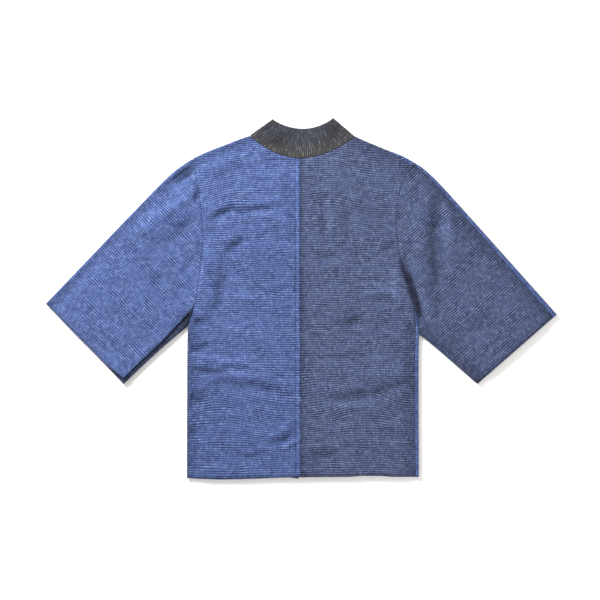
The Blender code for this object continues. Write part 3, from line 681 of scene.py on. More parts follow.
def double_shell(name, outer, inner, places, shade, row_picks, column_picks, look):
    """A closed shell with a fine outside and a plain inside that meets it at the picked rows and columns."""
    rows, columns = outer.shape[:2]
    inner = inner[np.ix_(row_picks, column_picks)]
    fine = grid_corners(rows, columns, 0)
    coarse = grid_corners(len(row_picks), len(column_picks), rows * columns)
    points = np.vstack((outer.reshape(-1, 3), inner.reshape(-1, 3)))
    inside_places = places[np.ix_(row_picks, column_picks)]
    cloth_places = np.vstack((places.reshape(-1, 2), inside_places.reshape(-1, 2)))
    outside = grid_quads(fine)
    inside = grid_quads(coarse)[:, ::-1]
    last_row = rows - 1 - row_picks[::-1]
    last_column = columns - 1 - column_picks[::-1]
    rims = (
        rim_between(fine[0, ::-1], coarse[0, ::-1], last_column)
        + rim_between(fine[::-1, -1], coarse[::-1, -1], last_row)
        + rim_between(fine[-1], coarse[-1], column_picks)
        + rim_between(fine[:, 0], coarse[:, 0], row_picks)
    )
    flat = np.empty((len(points), 2))
    count = rows * columns
    flat[:count, 0] = chart(places[..., 0].ravel(), BAKE_MARGIN, SHELL_OUTSIDE_END)
    flat[:count, 1] = chart(places[..., 1].ravel(), BAKE_MARGIN, 1 - BAKE_MARGIN)
    flat[count:, 0] = chart(inside_places[..., 0].ravel(), SHELL_INSIDE_START, INSIDE_END)
    flat[count:, 1] = chart(inside_places[..., 1].ravel(), BAKE_MARGIN, 1 - BAKE_MARGIN)
    bake_places = [flat[list(face)].tolist() for face in (*outside.tolist(), *inside.tolist())]
    bake_places += rim_places(len(rims), (0, 1, 3))
    faces = [tuple(face) for face in (*outside.tolist(), *inside.tolist(), *rims)]
    shades = np.concatenate((shade.ravel(), shade[np.ix_(row_picks, column_picks)].ravel()))
    return finish_cloth(name, points, faces, cloth_places, bake_places, shades, look)


def masked_shell(name, outer, inner, places, shade, held, look):
    """A closed shell on the held cells of a grid, its outside and inside alike in cells."""
    rows, columns = outer.shape[:2]
    count = rows * columns
    corner = grid_corners(rows, columns, 0)
    quads = grid_quads(corner).reshape(rows - 1, columns - 1, 4)
    outside = quads[held]
    inside = outside[:, ::-1] + count
    framed = np.zeros((rows + 1, columns + 1), bool)
    framed[1:-1, 1:-1] = held
    rims = []
    for a, b, near, far in (
        (corner[:, :-1], corner[:, 1:], framed[:-1, 1:-1], framed[1:, 1:-1]),
        (corner[1:, :], corner[:-1, :], framed[1:-1, :-1], framed[1:-1, 1:]),
    ):
        opens = far & ~near
        closes = near & ~far
        rims.append(np.stack((b[opens], a[opens], a[opens] + count, b[opens] + count), axis=-1))
        rims.append(np.stack((a[closes], b[closes], b[closes] + count, a[closes] + count), axis=-1))
    rims = np.vstack(rims)
    points = np.vstack((outer.reshape(-1, 3), inner.reshape(-1, 3)))
    cloth_places = np.vstack((places.reshape(-1, 2), places.reshape(-1, 2)))
    flat = np.empty((2 * count, 2))
    grid = np.indices((rows, columns)).reshape(2, -1)
    flat[:count, 0] = chart(grid[1], BAKE_MARGIN, MASKED_OUTSIDE_END)
    flat[count:, 0] = chart(grid[1], MASKED_INSIDE_START, INSIDE_END)
    flat[:, 1] = np.tile(chart(grid[0], BAKE_MARGIN, 1 - BAKE_MARGIN), 2)
    bake_places = [flat[list(face)].tolist() for face in (*outside.tolist(), *inside.tolist())]
    bake_places += rim_places(len(rims), (0, 1, 2, 3))
    faces = np.vstack((outside, inside, rims))
    used, renamed = np.unique(faces, return_inverse=True)
    faces = [tuple(face) for face in renamed.reshape(faces.shape).tolist()]
    shades = np.tile(shade.ravel(), 2)[used]
    return finish_cloth(name, points[used], faces, cloth_places[used], bake_places, shades, look)


def rows_of(start, end, pitch):
    """Row heights: close together over the turned edge, then so many to a ridge."""
    step = pitch / ROWS_A_RIDGE
    first = np.ceil((start + EDGE_ROWS[-1] + step / 2) / step)
    return np.concatenate((start + EDGE_ROWS, np.arange(first * step, end - step / 4, step), (end,)))


def rounded_edge(down):
    """Share of the full thickness near a turned edge."""
    return np.sqrt(np.clip(1 - (1 - np.clip(down / EDGE_ROWS[-1], 0, 1)) ** 2, 0, 1))


def seam_dip(inset):
    """How far the cloth sinks into a seam."""
    return SEAM_DEPTH * np.exp(-inset / SEAM_REACH)


class UpperCloth:
    """A back or the upper half of a sleeve, lying on the lower cloth."""

    def __init__(self, heading, low, high, start, end, bend, cloth, lift=None):
        self.heading = heading
        self.cloth = cloth
        self.start = start
        self.rows = rows_of(start, end, cloth.rib_pitch)
        self.bend = bend
        self.lift = lift
        self.low = self.ends(low)
        self.high = self.ends(high)
        self.length = self.high.across - self.low.across

    def shift(self, s, t):
        """How far a row lies from its straight line at each place across."""
        return self.bend(s, t) + row_sway(s, t) * ramp(t - self.start, SWAY_CALM)

    def ends(self, stretches):
        def step(s):
            return RowEnds(stretches, self.heading, self.rows + self.shift(s, self.rows)).across

        across = settle(self.rows * 0, step)
        return RowEnds(stretches, self.heading, self.rows + self.shift(across, self.rows))

    def edge_columns(self, row_ends, inward):
        """Columns from an edge inwards: round the roll where the seam is under it, then on top."""
        wrapped = row_ends.rolled & (row_ends.strip == 0)
        room = UPPER_ROOM * self.length / row_ends.slant
        cut = np.where(row_ends.strip > 0, row_ends.strip + HALF_GAP, HALF_GAP)
        cut = np.minimum(cut, room * MOST_CUT)
        total = arc_at(room)
        share_wrapped = np.minimum(1, (total - SEAM_GAP) / EDGE_STEPS[-1])
        share_cut = np.clip((room - cut) / EDGE_STEPS[-1], LEAST_ROOM, 1)
        found = []
        for offset in EDGE_STEPS:
            arc = SEAM_GAP + offset * share_wrapped
            dip = seam_dip(offset)
            outside, inside = roll_section(arc, -dip, self.cloth.thickness)
            on_roll = wrapped & (arc < QUARTER_ROLL)
            inset_out = np.where(wrapped, outside[0], cut + offset * share_cut)
            inset_in = np.where(wrapped, np.maximum(inside[0], 0), cut + offset * share_cut)
            s_out = row_ends.across + inward * np.minimum(inset_out, room) * row_ends.slant
            s_in = row_ends.across + inward * np.minimum(inset_in, room) * row_ends.slant
            found.append(UpperColumn(s_out, s_in, on_roll, outside[1], inside[1], offset))
        return found

    def build(self, name, interior, look, edge_dark, end_dark, finish=None, tint=None):
        """Makes the piece; its two shade numbers tell how much painted shade darkens its seams and its hem.

        finish(s, t) gives extra height outside and tint(s, t) a lighter or darker tone, which beside the
        centre back seam is painted shade and painted highlight.
        """
        low_side = self.edge_columns(self.low, 1)
        high_side = self.edge_columns(self.high, -1)[::-1]
        columns = list(low_side)
        near = low_side[-1]
        far = high_side[0]
        for step in range(1, interior):
            share = step / interior
            s_out = near.s_out + (far.s_out - near.s_out) * share
            columns.append(UpperColumn(s_out, s_out, np.zeros(len(self.rows), bool), 0, 0, 1.0))
        columns += high_side
        s_out = np.stack([column.s_out for column in columns], axis=1)
        s_in = np.stack([column.s_in for column in columns], axis=1)
        on_roll = np.stack([column.on_roll for column in columns], axis=1)
        roll_out = np.stack([column.roll_out + 0 * self.rows for column in columns], axis=1)
        roll_in = np.stack([column.roll_in + 0 * self.rows for column in columns], axis=1)
        offset = np.array([column.offset for column in columns])[None, :]
        t = np.repeat(self.rows[:, None], len(columns), axis=1)
        plan_out = self.heading.plan(s_out, t + self.shift(s_out, t))
        plan_in = self.heading.plan(s_in, t + self.shift(s_in, t))
        ridge = ridge_relief(s_out, t, self.cloth)
        dip = seam_dip(offset)
        pucker = drift(PUCKER, SEAM_PUCKERS, t, s_out) * np.exp(-offset / PUCKER_REACH)
        extra = pucker - dip
        if finish:
            extra = extra + finish(s_out, t)
        thickness = self.cloth.thickness
        down = self.rows - self.start
        hem_depth = self.cloth.hem_depth
        hem_rise = self.cloth.hem_rise * (1 - smooth_share(down, hem_depth - HEM_STEP, hem_depth + HEM_STEP))
        groove = HEM_GROOVE * bell(down - hem_depth, HEM_GROOVE_WIDTH)
        held_up = 1 - (HEM_DROP.size - ramp(down, HEM_DROP))[:, None]
        edge_share = rounded_edge(down)
        folds = creases(plan_out, self.cloth.crease_depth)
        lay = LEAST_LAY + (upper_lay(plan_out, folds) - LEAST_LAY) * held_up
        z_out = np.where(on_roll, roll_out + dip + extra + ridge, lay + thickness + ridge + extra)
        z_out = z_out + (hem_rise - groove)[:, None]
        z_in = np.where(on_roll, roll_in, lay)
        middle = (z_out + z_in) / 2
        z_out = middle + (z_out - middle) * edge_share[:, None]
        z_in = middle + (z_in - middle) * np.maximum(edge_share, LEAST_EDGE)[:, None]
        if self.lift is not None:
            rise = self.lift(s_out, t)
            z_out = z_out + rise
            z_in = z_in + rise
        outer = np.concatenate((plan_out, z_out[..., None]), axis=-1)
        inner = np.concatenate((plan_in, z_in[..., None]), axis=-1)
        places = np.stack((s_out, t), axis=-1)
        row_picks = every(len(self.rows), INNER_EVERY, range(len(EDGE_ROWS)))
        column_picks = every(len(columns), 2)
        # Painted shade in crease troughs, along the rolled edges and at the hem, and painted highlight on
        # crease ridges
        shade = shading(plan_out, folds, edge_dark) - end_dark * np.exp(-down / SHADE_END)[:, None]
        if tint:
            shade = shade + tint(s_out, t)
        return double_shell(name, outer, inner, places, shade, row_picks, column_picks, look)


# Strips of the lower cloth: from which width they can sink, and how much painted shade darkens them
WIDE_STRIP = Ramp(0.0065, 0.0090, 1)
LOWER_SHADE = 0.10
SUNK_SHADE = 1.4
ARMPIT_SHADE = Ramp(0.130, 0.190, 1.4)


def strip_widths(low, high, columns):
    """Width of the strip that shows at the end of a row to which each column belongs."""
    half = len(columns) // 2
    low_half = np.repeat(low.strip[:, None], half, axis=1)
    high_half = np.repeat(high.strip[:, None], len(columns) - half, axis=1)
    return np.concatenate((low_half, high_half), axis=1)


class LowerCloth:
    """A front or the under half of a sleeve: flat on the ground, rolled up round the edges."""

    top_shares = (1, 2 / 3, 1 / 3, 0)
    roll_shares = (0.8, 0.6, 0.4, 0.2, 0, -0.2, -0.4, -0.6, -0.8)

    def __init__(self, heading, low, high, start, end, bend, cloth, sink=0.0, lift=None):
        self.heading = heading
        self.cloth = cloth
        self.start = start
        self.bend = bend
        self.sink = sink
        self.lift = lift
        self.rows = rows_of(start, end, cloth.rib_pitch)
        self.low = RowEnds(low, heading, self.rows)
        self.high = RowEnds(high, heading, self.rows)
        self.length = self.high.across - self.low.across

    def edge_columns(self, row_ends, inward):
        """Columns from the seam on top, round the roll, and onto the ground.

        Each tells at which rows cloth reaches in from it.
        """
        rolled = row_ends.rolled
        topped = row_ends.strip > 0
        room = LOWER_ROOM * self.length / row_ends.slant
        everywhere = np.ones(len(self.rows), bool)
        found = []

        def add(inset_out, inset_in, z_out, z_in, on_top, held, seam):
            s_out = row_ends.across + inward * np.minimum(inset_out, room) * row_ends.slant
            s_in = row_ends.across + inward * np.minimum(inset_in, room) * row_ends.slant
            flat = 0 * room
            found.append(LowerColumn(s_out, s_in, z_out + flat, z_in + flat, on_top, held, seam + flat))

        base = np.where(rolled, EDGE_ROLL, HALF_GAP)
        seam_at = np.maximum(row_ends.strip - HALF_GAP, base)
        for share in self.top_shares:
            inset = base + (seam_at - base) * share
            held = topped if share > 0 else topped & rolled
            add(inset, inset, 0, 0, 1, held, (seam_at - inset))
        for share in self.roll_shares:
            arc = share * QUARTER_ROLL
            dip = np.where(topped, 0, seam_dip(max(-arc, 0)))
            outside, inside = roll_section(np.full(len(self.rows), arc), -dip, self.cloth.thickness)
            held = rolled & topped if share > 0 else rolled
            add(outside[0], np.maximum(inside[0], 0), outside[1], inside[1], 0, held, 1.0)
        for step in GROUND_STEPS:
            add(base + step, base + step, 0, 0, -1, everywhere, 1.0)
        return found

    def build(self, name, interior, look):
        low_side = self.edge_columns(self.low, 1)
        high_side = self.edge_columns(self.high, -1)[::-1]
        near = low_side[-1]
        far = high_side[0]
        middle = []
        for step in range(1, interior):
            s = near.s_out + (far.s_out - near.s_out) * step / interior
            middle.append(LowerColumn(s, s, 0 * s, 0 * s, -1, np.ones(len(s), bool), 1.0 + 0 * s))
        columns = low_side + middle + high_side
        reach = [column.held for column in low_side + middle + high_side[1:]]
        held = np.stack([now[:-1] & now[1:] for now in reach], axis=1)
        s_out = np.stack([column.s_out for column in columns], axis=1)
        s_in = np.stack([column.s_in for column in columns], axis=1)
        z_out = np.stack([column.z_out for column in columns], axis=1)
        z_in = np.stack([column.z_in for column in columns], axis=1)
        where = np.array([column.on_top for column in columns])[None, :]
        seam = np.stack([column.seam for column in columns], axis=1)
        t = np.repeat(self.rows[:, None], len(columns), axis=1)
        plan_out = self.heading.plan(s_out, t + self.bend(s_out, t))
        plan_in = self.heading.plan(s_in, t + self.bend(s_in, t))
        ridge = ridge_relief(s_out, t, self.cloth)
        lay = upper_lay(plan_out, creases(plan_out, self.cloth.crease_depth))
        height = self.cloth.rib_height
        thickness = self.cloth.thickness
        widths = strip_widths(self.low, self.high, columns)
        wide = ramp(widths, WIDE_STRIP)
        sunk = 1 - self.sink * wide
        top_out = lay + thickness + ridge - seam_dip(seam)
        roll_share = np.clip(z_out / EDGE_ROLL, 0, 2) - 1
        roll_out = z_out + ridge * roll_share
        ground_out = np.maximum(VALLEY_SHARE * height - ridge, 0)
        z_out = np.where(where > 0, top_out, np.where(where < 0, ground_out, np.maximum(roll_out, TOUCH)))
        z_in = np.where(where > 0, lay, np.where(where < 0, thickness, z_in))
        z_out = np.where(where < 0, z_out, z_out * sunk)
        z_in = np.where(where < 0, z_in, z_in * sunk)
        edge_share = rounded_edge(self.rows - self.start)[:, None]
        level = (z_out + z_in) / 2
        z_out = level + (z_out - level) * edge_share
        z_in = level + (z_in - level) * np.maximum(edge_share, LEAST_EDGE)
        if self.lift is not None:
            rise = self.lift(s_out, t)
            z_out = z_out + rise
            z_in = z_in + rise
        outer = np.concatenate((plan_out, z_out[..., None]), axis=-1)
        inner = np.concatenate((plan_in, z_in[..., None]), axis=-1)
        places = np.stack((s_out, t), axis=-1)
        # Painted shade: all the lower cloth a little darker where the upper cloth lies over it, and the sunk
        # strips much darker, most near the armpit, for the shadow of the upper cloth's edge
        shade = 0 * t - LOWER_SHADE
        if self.sink:
            shade = shade - SUNK_SHADE - ramp(t, ARMPIT_SHADE)
        return masked_shell(name, outer, inner, places, shade, held, look)


def neck_fold(neck, corner):
    """The line on which the band turns from the back neck to the front, and the way in from it."""
    start = np.array(neck)
    end = np.array(corner)
    run = (end - start) / np.linalg.norm(end - start)
    inward = np.array((run[1], -run[0])) * np.sign(run[0])
    return start, end, inward


def neckline(neck, corner, count=24):
    """The back neck seam from its middle out to the fold of the band."""
    start, _, inward = neck_fold(neck, corner)
    turn = start + inward * BAND_ROLL
    x = np.linspace(NECK_DIP.x, turn[0], count)
    share = (x - NECK_DIP.x) / (turn[0] - NECK_DIP.x)
    y = NECK_DIP.y + (turn[1] - NECK_DIP.y) * share**2
    return np.stack((x, y), axis=1), turn, start


def back_neck_edge(neck, corner):
    line, _, start = neckline(neck, corner)
    return np.vstack((line, start))


def band_edge(place, at_hem, heights):
    """The x of a long edge of the front band, which swings out as it nears the neck."""
    swing = np.exp(-(place[1] - heights) / BAND_SWING)
    side = np.sign(place[0])
    return side * at_hem + (place[0] - side * at_hem) * swing


def front_band_seam(neck, corner, count=48):
    _, turn, start = neckline(neck, corner)
    heights = np.linspace(SIDE_LEFT[0].y, turn[1], count)
    line = np.stack((band_edge(turn, BAND_SEAM_AT_HEM, heights), heights), axis=1)
    return np.vstack((line, start))


BAND_FRONT_STATIONS = 240
BAND_FOLD_STATIONS = 16
BAND_BACK_STATIONS = 90
BAND_RIM = 0.0015
BAND_STEPS = np.array((0, 0.12, 0.4, 0.9, 1.5, 3.0)) / 1000
BAND_MIDDLE = 14
BAND_LEAST_EDGE = 0.06
BAND_ON_TOP = Ramp(0.004, 0.007, 1)
# Neck corner, collar corner, order of the stations, and heights of the seam and the edge at the hem
BAND_SIDES = (
    (NECK_LEFT, COLLAR_LEFT, 1, -0.3500, -0.3580),
    (NECK_RIGHT, COLLAR_RIGHT, -1, -0.3520, -0.3530),
)


def band_stations():
    """Both ends of each line across the band, outside and inside, from the left front hem to the right."""
    stations = []
    for neck, corner, order, at_seam, at_edge in BAND_SIDES:
        start, end, inward = neck_fold(neck, corner)
        turn = start + inward * BAND_ROLL
        edge_turn = end + inward * BAND_ROLL
        half = []
        for share in np.linspace(1, 0, BAND_FRONT_STATIONS + 1):
            seam_y = turn[1] + (at_seam - turn[1]) * share
            edge_y = edge_turn[1] + (at_edge - edge_turn[1]) * share
            seam = (band_edge(turn, BAND_SEAM_AT_HEM, seam_y), seam_y)
            edge = (band_edge(edge_turn, BAND_EDGE_AT_HEM, edge_y), edge_y)
            half.append(((*seam, 0.0), (*edge, 0.0), (*seam, BAND_CLOTH), (*edge, BAND_CLOTH)))
        for angle in np.linspace(-pi / 2, pi / 2, BAND_FOLD_STATIONS + 1)[1:]:
            outer = inward * BAND_ROLL * (1 - np.cos(angle))
            within = BAND_ROLL - BAND_CLOTH
            inner = inward * (BAND_ROLL - within * np.cos(angle))
            top = BAND_ROLL * (1 + np.sin(angle))
            under = BAND_ROLL + within * np.sin(angle)
            lines = ((start + outer, top), (end + outer, top), (start + inner, under), (end + inner, under))
            half.append(tuple((*place, height) for place, height in lines))
        seam_line, _, _ = neckline(neck, corner, BAND_BACK_STATIONS + 1)
        edge_x = np.linspace(edge_turn[0], COLLAR_DIP.x, BAND_BACK_STATIONS + 1)[1:]
        share = (edge_x - COLLAR_DIP.x) / (edge_turn[0] - COLLAR_DIP.x)
        edge_y = COLLAR_DIP.y + (edge_turn[1] - COLLAR_DIP.y) * share**2
        for index, seam in enumerate(seam_line[::-1][1:]):
            away = np.linalg.norm(seam - turn)
            level = UPPER_LAY + NECK_AIR
            full = 2 * BAND_ROLL - BAND_CLOTH - level
            under = level + full * bell(away, PILLOW_FALL)
            edge = (edge_x[index], edge_y[index])
            top = under + BAND_CLOTH
            half.append(((*seam, top), (*edge, top), (*seam, under), (*edge, under)))
        stations += half if order == 1 else half[-2::-1]
    return np.array(stations)


def band_mesh(name, look):
    stations = band_stations()
    width = np.linalg.norm(stations[:, 1] - stations[:, 0], axis=1)[:, None]
    steps = BAND_STEPS
    inner_steps = np.linspace(steps[-1], 1, BAND_MIDDLE + 2)[1:-1]
    across = []
    for step in steps:
        across.append(HALF_GAP + step + 0 * width)
    for share in inner_steps:
        across.append(steps[-1] + (width - 2 * steps[-1]) * share)
    for step in steps[::-1]:
        across.append(width - step)
    across = np.hstack(across)
    share = (across / width)[..., None]
    outer = stations[:, None, 0] * (1 - share) + stations[:, None, 1] * share
    inner = stations[:, None, 2] * (1 - share) + stations[:, None, 3] * share
    inset = np.minimum(across - HALF_GAP, width - across)
    thick = np.sqrt(np.clip(1 - (1 - np.clip(inset / BAND_RIM, 0, 1)) ** 2, 0, 1))
    thick = np.maximum(thick, BAND_LEAST_EDGE)
    middle = (outer + inner) / 2
    half = (outer - inner) / 2
    strides = np.linalg.norm(np.diff(stations[:, :2].mean(axis=1), axis=0), axis=1)
    along = np.concatenate(([0], np.cumsum(strides)))
    along = np.repeat(along[:, None], across.shape[1], axis=1)
    swell = 1 + drift(SLUBS, BAND_SWELL, along, across)
    rise = drift(RUMPLE, BAND_RISE, along, across)
    outer = middle + half * (thick * swell)[..., None]
    inner = middle - half * thick[..., None]
    on_top = ramp(stations[:, 0, 2], BAND_ON_TOP)[:, None]
    outer[..., 2] += rise * on_top
    places = np.stack((across, along), axis=-1)
    held = np.ones((outer.shape[0] - 1, outer.shape[1] - 1), bool)
    shade = drift(RUMPLE, BAND_SHADE, along, across) + bumped(outer[..., :2], BAND_TONES) * on_top
    return masked_shell(name, outer, inner, places, shade, held, look)


STITCH_SIDES = 6
STITCH_FLATNESS = 0.6
# Rings of a stitch: place along it and share of its full width
STITCH_RINGS = ((-0.5, 0.35), (-0.28, 1.0), (0.28, 1.0), (0.5, 0.35))


def stitch_line(name, path, length, pitch, radius, look):
    """A run of sewing along a path as one joined mesh of short plump stitches."""
    lengths = np.linalg.norm(np.diff(path, axis=0), axis=1)
    along = np.concatenate(([0], np.cumsum(lengths)))
    middles = np.arange(pitch / 2, along[-1], pitch)
    points = []
    faces = []
    angles = np.arange(STITCH_SIDES) * 2 * pi / STITCH_SIDES
    for middle in middles:
        centre = np.array([np.interp(middle, along, path[:, k]) for k in range(3)])
        ahead = np.array([np.interp(middle + radius, along, path[:, k]) for k in range(3)])
        run = (ahead - centre) / max(np.linalg.norm(ahead - centre), TINY)
        side = np.cross(run, (0, 0, 1))
        side = side / max(np.linalg.norm(side), TINY)
        up = np.cross(side, run)
        first = len(points)
        for at, swell in STITCH_RINGS:
            for angle in angles:
                ring = (side * np.cos(angle) + up * np.sin(angle) * STITCH_FLATNESS) * radius * swell
                points.append(centre + run * at * length + ring)
        for ring in range(len(STITCH_RINGS) - 1):
            for k in range(STITCH_SIDES):
                a = first + ring * STITCH_SIDES + k
                b = first + ring * STITCH_SIDES + (k + 1) % STITCH_SIDES
                faces.append((a, b, b + STITCH_SIDES, a + STITCH_SIDES))
        faces.append(tuple(range(first + STITCH_SIDES - 1, first - 1, -1)))
        last = first + (len(STITCH_RINGS) - 1) * STITCH_SIDES
        faces.append(tuple(range(last, last + STITCH_SIDES)))
    mesh = bpy.data.meshes.new(name)
    mesh.from_pydata([tuple(point) for point in points], [], faces)
    mesh.shade_smooth()
    mesh.materials.append(look)
    item = bpy.data.objects.new(name, mesh)
    bpy.context.scene.collection.objects.link(item)
    return item


# Numbers of the sockets of Mix nodes for colours, and of the outputs of the other nodes
MIX_SHARE, MIX_FIRST, MIX_SECOND, MIX_COLOUR = 0, 6, 7, 2
OBJECT_PLACE = 3
ATTRIBUTE_NUMBER = 2


class Value:
    """A socket of a shader that takes part in arithmetic; each sum adds its own Math node."""

    def __init__(self, finish, socket):
        self.finish = finish
        self.socket = socket

    def math(self, operation, *others):
        return self.finish.node("ShaderNodeMath", {"operation": operation}, (self, *others))

    def __add__(self, other):
        return self.math("ADD", other)

    __radd__ = __add__

    def __sub__(self, other):
        return self.math("SUBTRACT", other)

    def __rsub__(self, other):
        return self.finish.node("ShaderNodeMath", {"operation": "SUBTRACT"}, (other, self))

    def __mul__(self, other):
        return self.math("MULTIPLY", other)

    __rmul__ = __mul__

    def __truediv__(self, other):
        return self.math("DIVIDE", other)

    def __pow__(self, other):
        return self.math("POWER", other)

    def whole(self):
        return self.math("FLOOR")

    def part(self):
        return self.math("FRACT")

    def size(self):
        return self.math("ABSOLUTE")

    def rising(self, low, high):
        """0 below low, 1 above high, and a soft step between."""
        settings = {"interpolation_type": "SMOOTHSTEP"}
        values = {"Value": self, "From Min": low, "From Max": high}
        return self.finish.node("ShaderNodeMapRange", settings, values)


class Finish:
    """A cloth or thread material under construction."""

    def __init__(self, name):
        self.material = bpy.data.materials.new(name)
        self.material.use_nodes = True
        self.nodes = self.material.node_tree.nodes
        self.links = self.material.node_tree.links
        self.shader = self.nodes["Principled BSDF"]

    def node(self, kind, settings=None, values=None, output=0):
        """Adds a node, sets it up, joins or fills its sockets, and gives one of its outputs."""
        made = self.nodes.new(kind)
        for key, value in (settings or {}).items():
            setattr(made, key, value)
        pairs = values.items() if isinstance(values, dict) else enumerate(values or ())
        for key, value in pairs:
            self.feed(made.inputs[key], value)
        return Value(self, made.outputs[output])

    def feed(self, socket, value):
        if isinstance(value, Value):
            self.links.new(value.socket, socket)
        else:
            socket.default_value = value

    def axes(self, vector):
        """The first two numbers of a vector."""
        first = self.node("ShaderNodeSeparateXYZ", None, (vector,))
        return first, Value(self, first.socket.node.outputs[1])

    def noise(self, x, y, detail=1.0, roughness=0.5):
        place = self.node("ShaderNodeCombineXYZ", None, (x, y, 0.0))
        settings = {"noise_dimensions": "2D"}
        values = {"Vector": place, "Scale": 1.0, "Detail": detail, "Roughness": roughness}
        return self.node("ShaderNodeTexNoise", settings, values)

    def grain(self, x, y, kind):
        """Noise with its own lengths, starting place and detail."""
        x = x / kind.x
        y = y / kind.y
        if kind.from_x:
            x = x + kind.from_x
        if kind.from_y:
            y = y + kind.from_y
        return self.noise(x, y, kind.detail)

    def ridge_grain(self, s, number, kind):
        """Noise along each ridge that differs from one ridge to the next."""
        return self.noise(s / kind.length + number * kind.jump, number * kind.step, 2.0, 0.6)

    def shaded(self, colour, lift):
        """The colour made paler or darker all over."""
        shade = self.node("ShaderNodeCombineColor", None, (lift, lift, lift))
        return self.mix(1.0, colour, shade, "MULTIPLY")

    def mix(self, share, first, second, blend="MIX"):
        """Mixes two colours, each a tuple or a socket."""
        settings = {"data_type": "RGBA", "blend_type": blend}
        values = {MIX_SHARE: share, MIX_FIRST: first, MIX_SECOND: second}
        return self.node("ShaderNodeMix", settings, values, MIX_COLOUR)

    def bump(self, height, distance, normal=None):
        values = {"Height": height, "Distance": distance, "Strength": 1.0}
        if normal is not None:
            values["Normal"] = normal
        return self.node("ShaderNodeBump", None, values)

    def set(self, **values):
        for key, value in values.items():
            self.feed(self.shader.inputs[key.replace("_", " ")], value)
        return self.material


def rgb(colour):
    return (*colour, 1.0)


# Noise of the ridged cloth: patches, yarns, threads, their crossings, flecks, and large and small mottling
PATCHES = Grain(0.050, 0.026, 0, 0, 2.0)
YARNS = Grain(0.0013, 0.0030, 0, 0, 1.0)
THREADS = Grain(0.0010, 0.016, 0, 0, 1.0)
CROSSINGS = Grain(0.0030, 0.013, 0, 0, 1.0)
FLECKS = Grain(0.0046, 0.0026, 90.0, 40.0, 1.0)
LARGE_MOTTLE = Grain(0.120, 0.090, 4.0, 9.0, 2.0)
SMALL_MOTTLE = Grain(0.034, 0.012, 20.0, 0, 2.0)
# Noise of the band cloth
BAND_FLECKS = Grain(0.0075, 0.0022, 12.0, 70.0, 1.0)
BAND_PATCHES = Grain(0.030, 0.040, 0, 0, 2.0)
BAND_WARMTH = Grain(0.040, 0.050, 5.0, 8.0, 1.0)
# Its cooler and warmer greys, as shares of its colour
BAND_COOL = (0.95, 0.98, 1.07)
BAND_WARM = (1.06, 1.00, 0.88)
# Noise along each ridge: its length, and how it moves on from one ridge to the next
SLUB_GRAIN = RidgeGrain(0.0075, 7.3, 3.1)
STRETCH_GRAIN = RidgeGrain(0.020, 3.7, 1.9)
BAND_SLUB_GRAIN = RidgeGrain(0.0130, 5.1, 2.3)
# Soft steps of the ridged cloth, from none to full
PATCH_STEP = (0.34, 0.64)
STRETCH_STEP = (0.36, 0.64)
VALLEY_STEP = (0.22, 0.94)
CREST_STEP = (0.10, 0.80)
DASH_STEP = (0.46, 0.70)
FLECK_STEP = (0.70, 0.80)
PALE_STEP = (-0.35, 1.05)
DEEP_STEP = (0.0, 1.15)
# Soft steps of the band cloth
BAND_FLECK_STEP = (0.50, 0.80)
BAND_VALLEY_STEP = (0.30, 0.95)
BAND_DASH_STEP = (0.42, 0.72)
BAND_CREST_STEP = (0.2, 0.9)
BAND_PALE_STEP = (0.0, 1.0)
BAND_DEEP_STEP = (0.0, 1.1)
BAND_WARM_STEP = (0.25, 0.75)
# How much each thing adds to the light tone of the ridged cloth
DASH_LIGHT, CREST_LIGHT, FLECK_LIGHT = 0.80, 0.14, 0.35
YARN_LIGHT, THREAD_LIGHT, CROSSING_LIGHT = 0.34, 0.58, 0.84
# How pale the cloth is all over, what mottling adds, and how strongly the shade map darkens and lightens it:
# painted shade and painted highlight on the ridged cloth, lighter and darker tone on the band
EVEN_LIFT, LARGE_LIFT, SMALL_LIFT = 0.70, 0.24, 0.36
PAINTED_SHADE_LIFT, BAND_TONE_LIFT = 0.26, 0.20
# Shares of the fine relief, and of the roughness
CREST_RELIEF, SLUB_RELIEF, YARN_RELIEF, THREAD_RELIEF = 0.3, 0.5, 0.25, 0.2
BAND_CREST_RELIEF, BAND_SLUB_RELIEF = 0.6, 0.4
CLOTH_ROUGH, BAND_ROUGH, VALLEY_ROUGH, DASH_ROUGH = 0.86, 0.84, 0.10, 0.08
# Depths of the fine relief
CLOTH_BUMP, BAND_BUMP, TWIST_BUMP = 0.00035, 0.0003, 0.00008
THREAD_TWIST = 0.0005
# Dull cloth with a little sheen
DULL = {"Sheen_Weight": 0.04, "Sheen_Roughness": 0.5, "Specular_IOR_Level": 0.12}


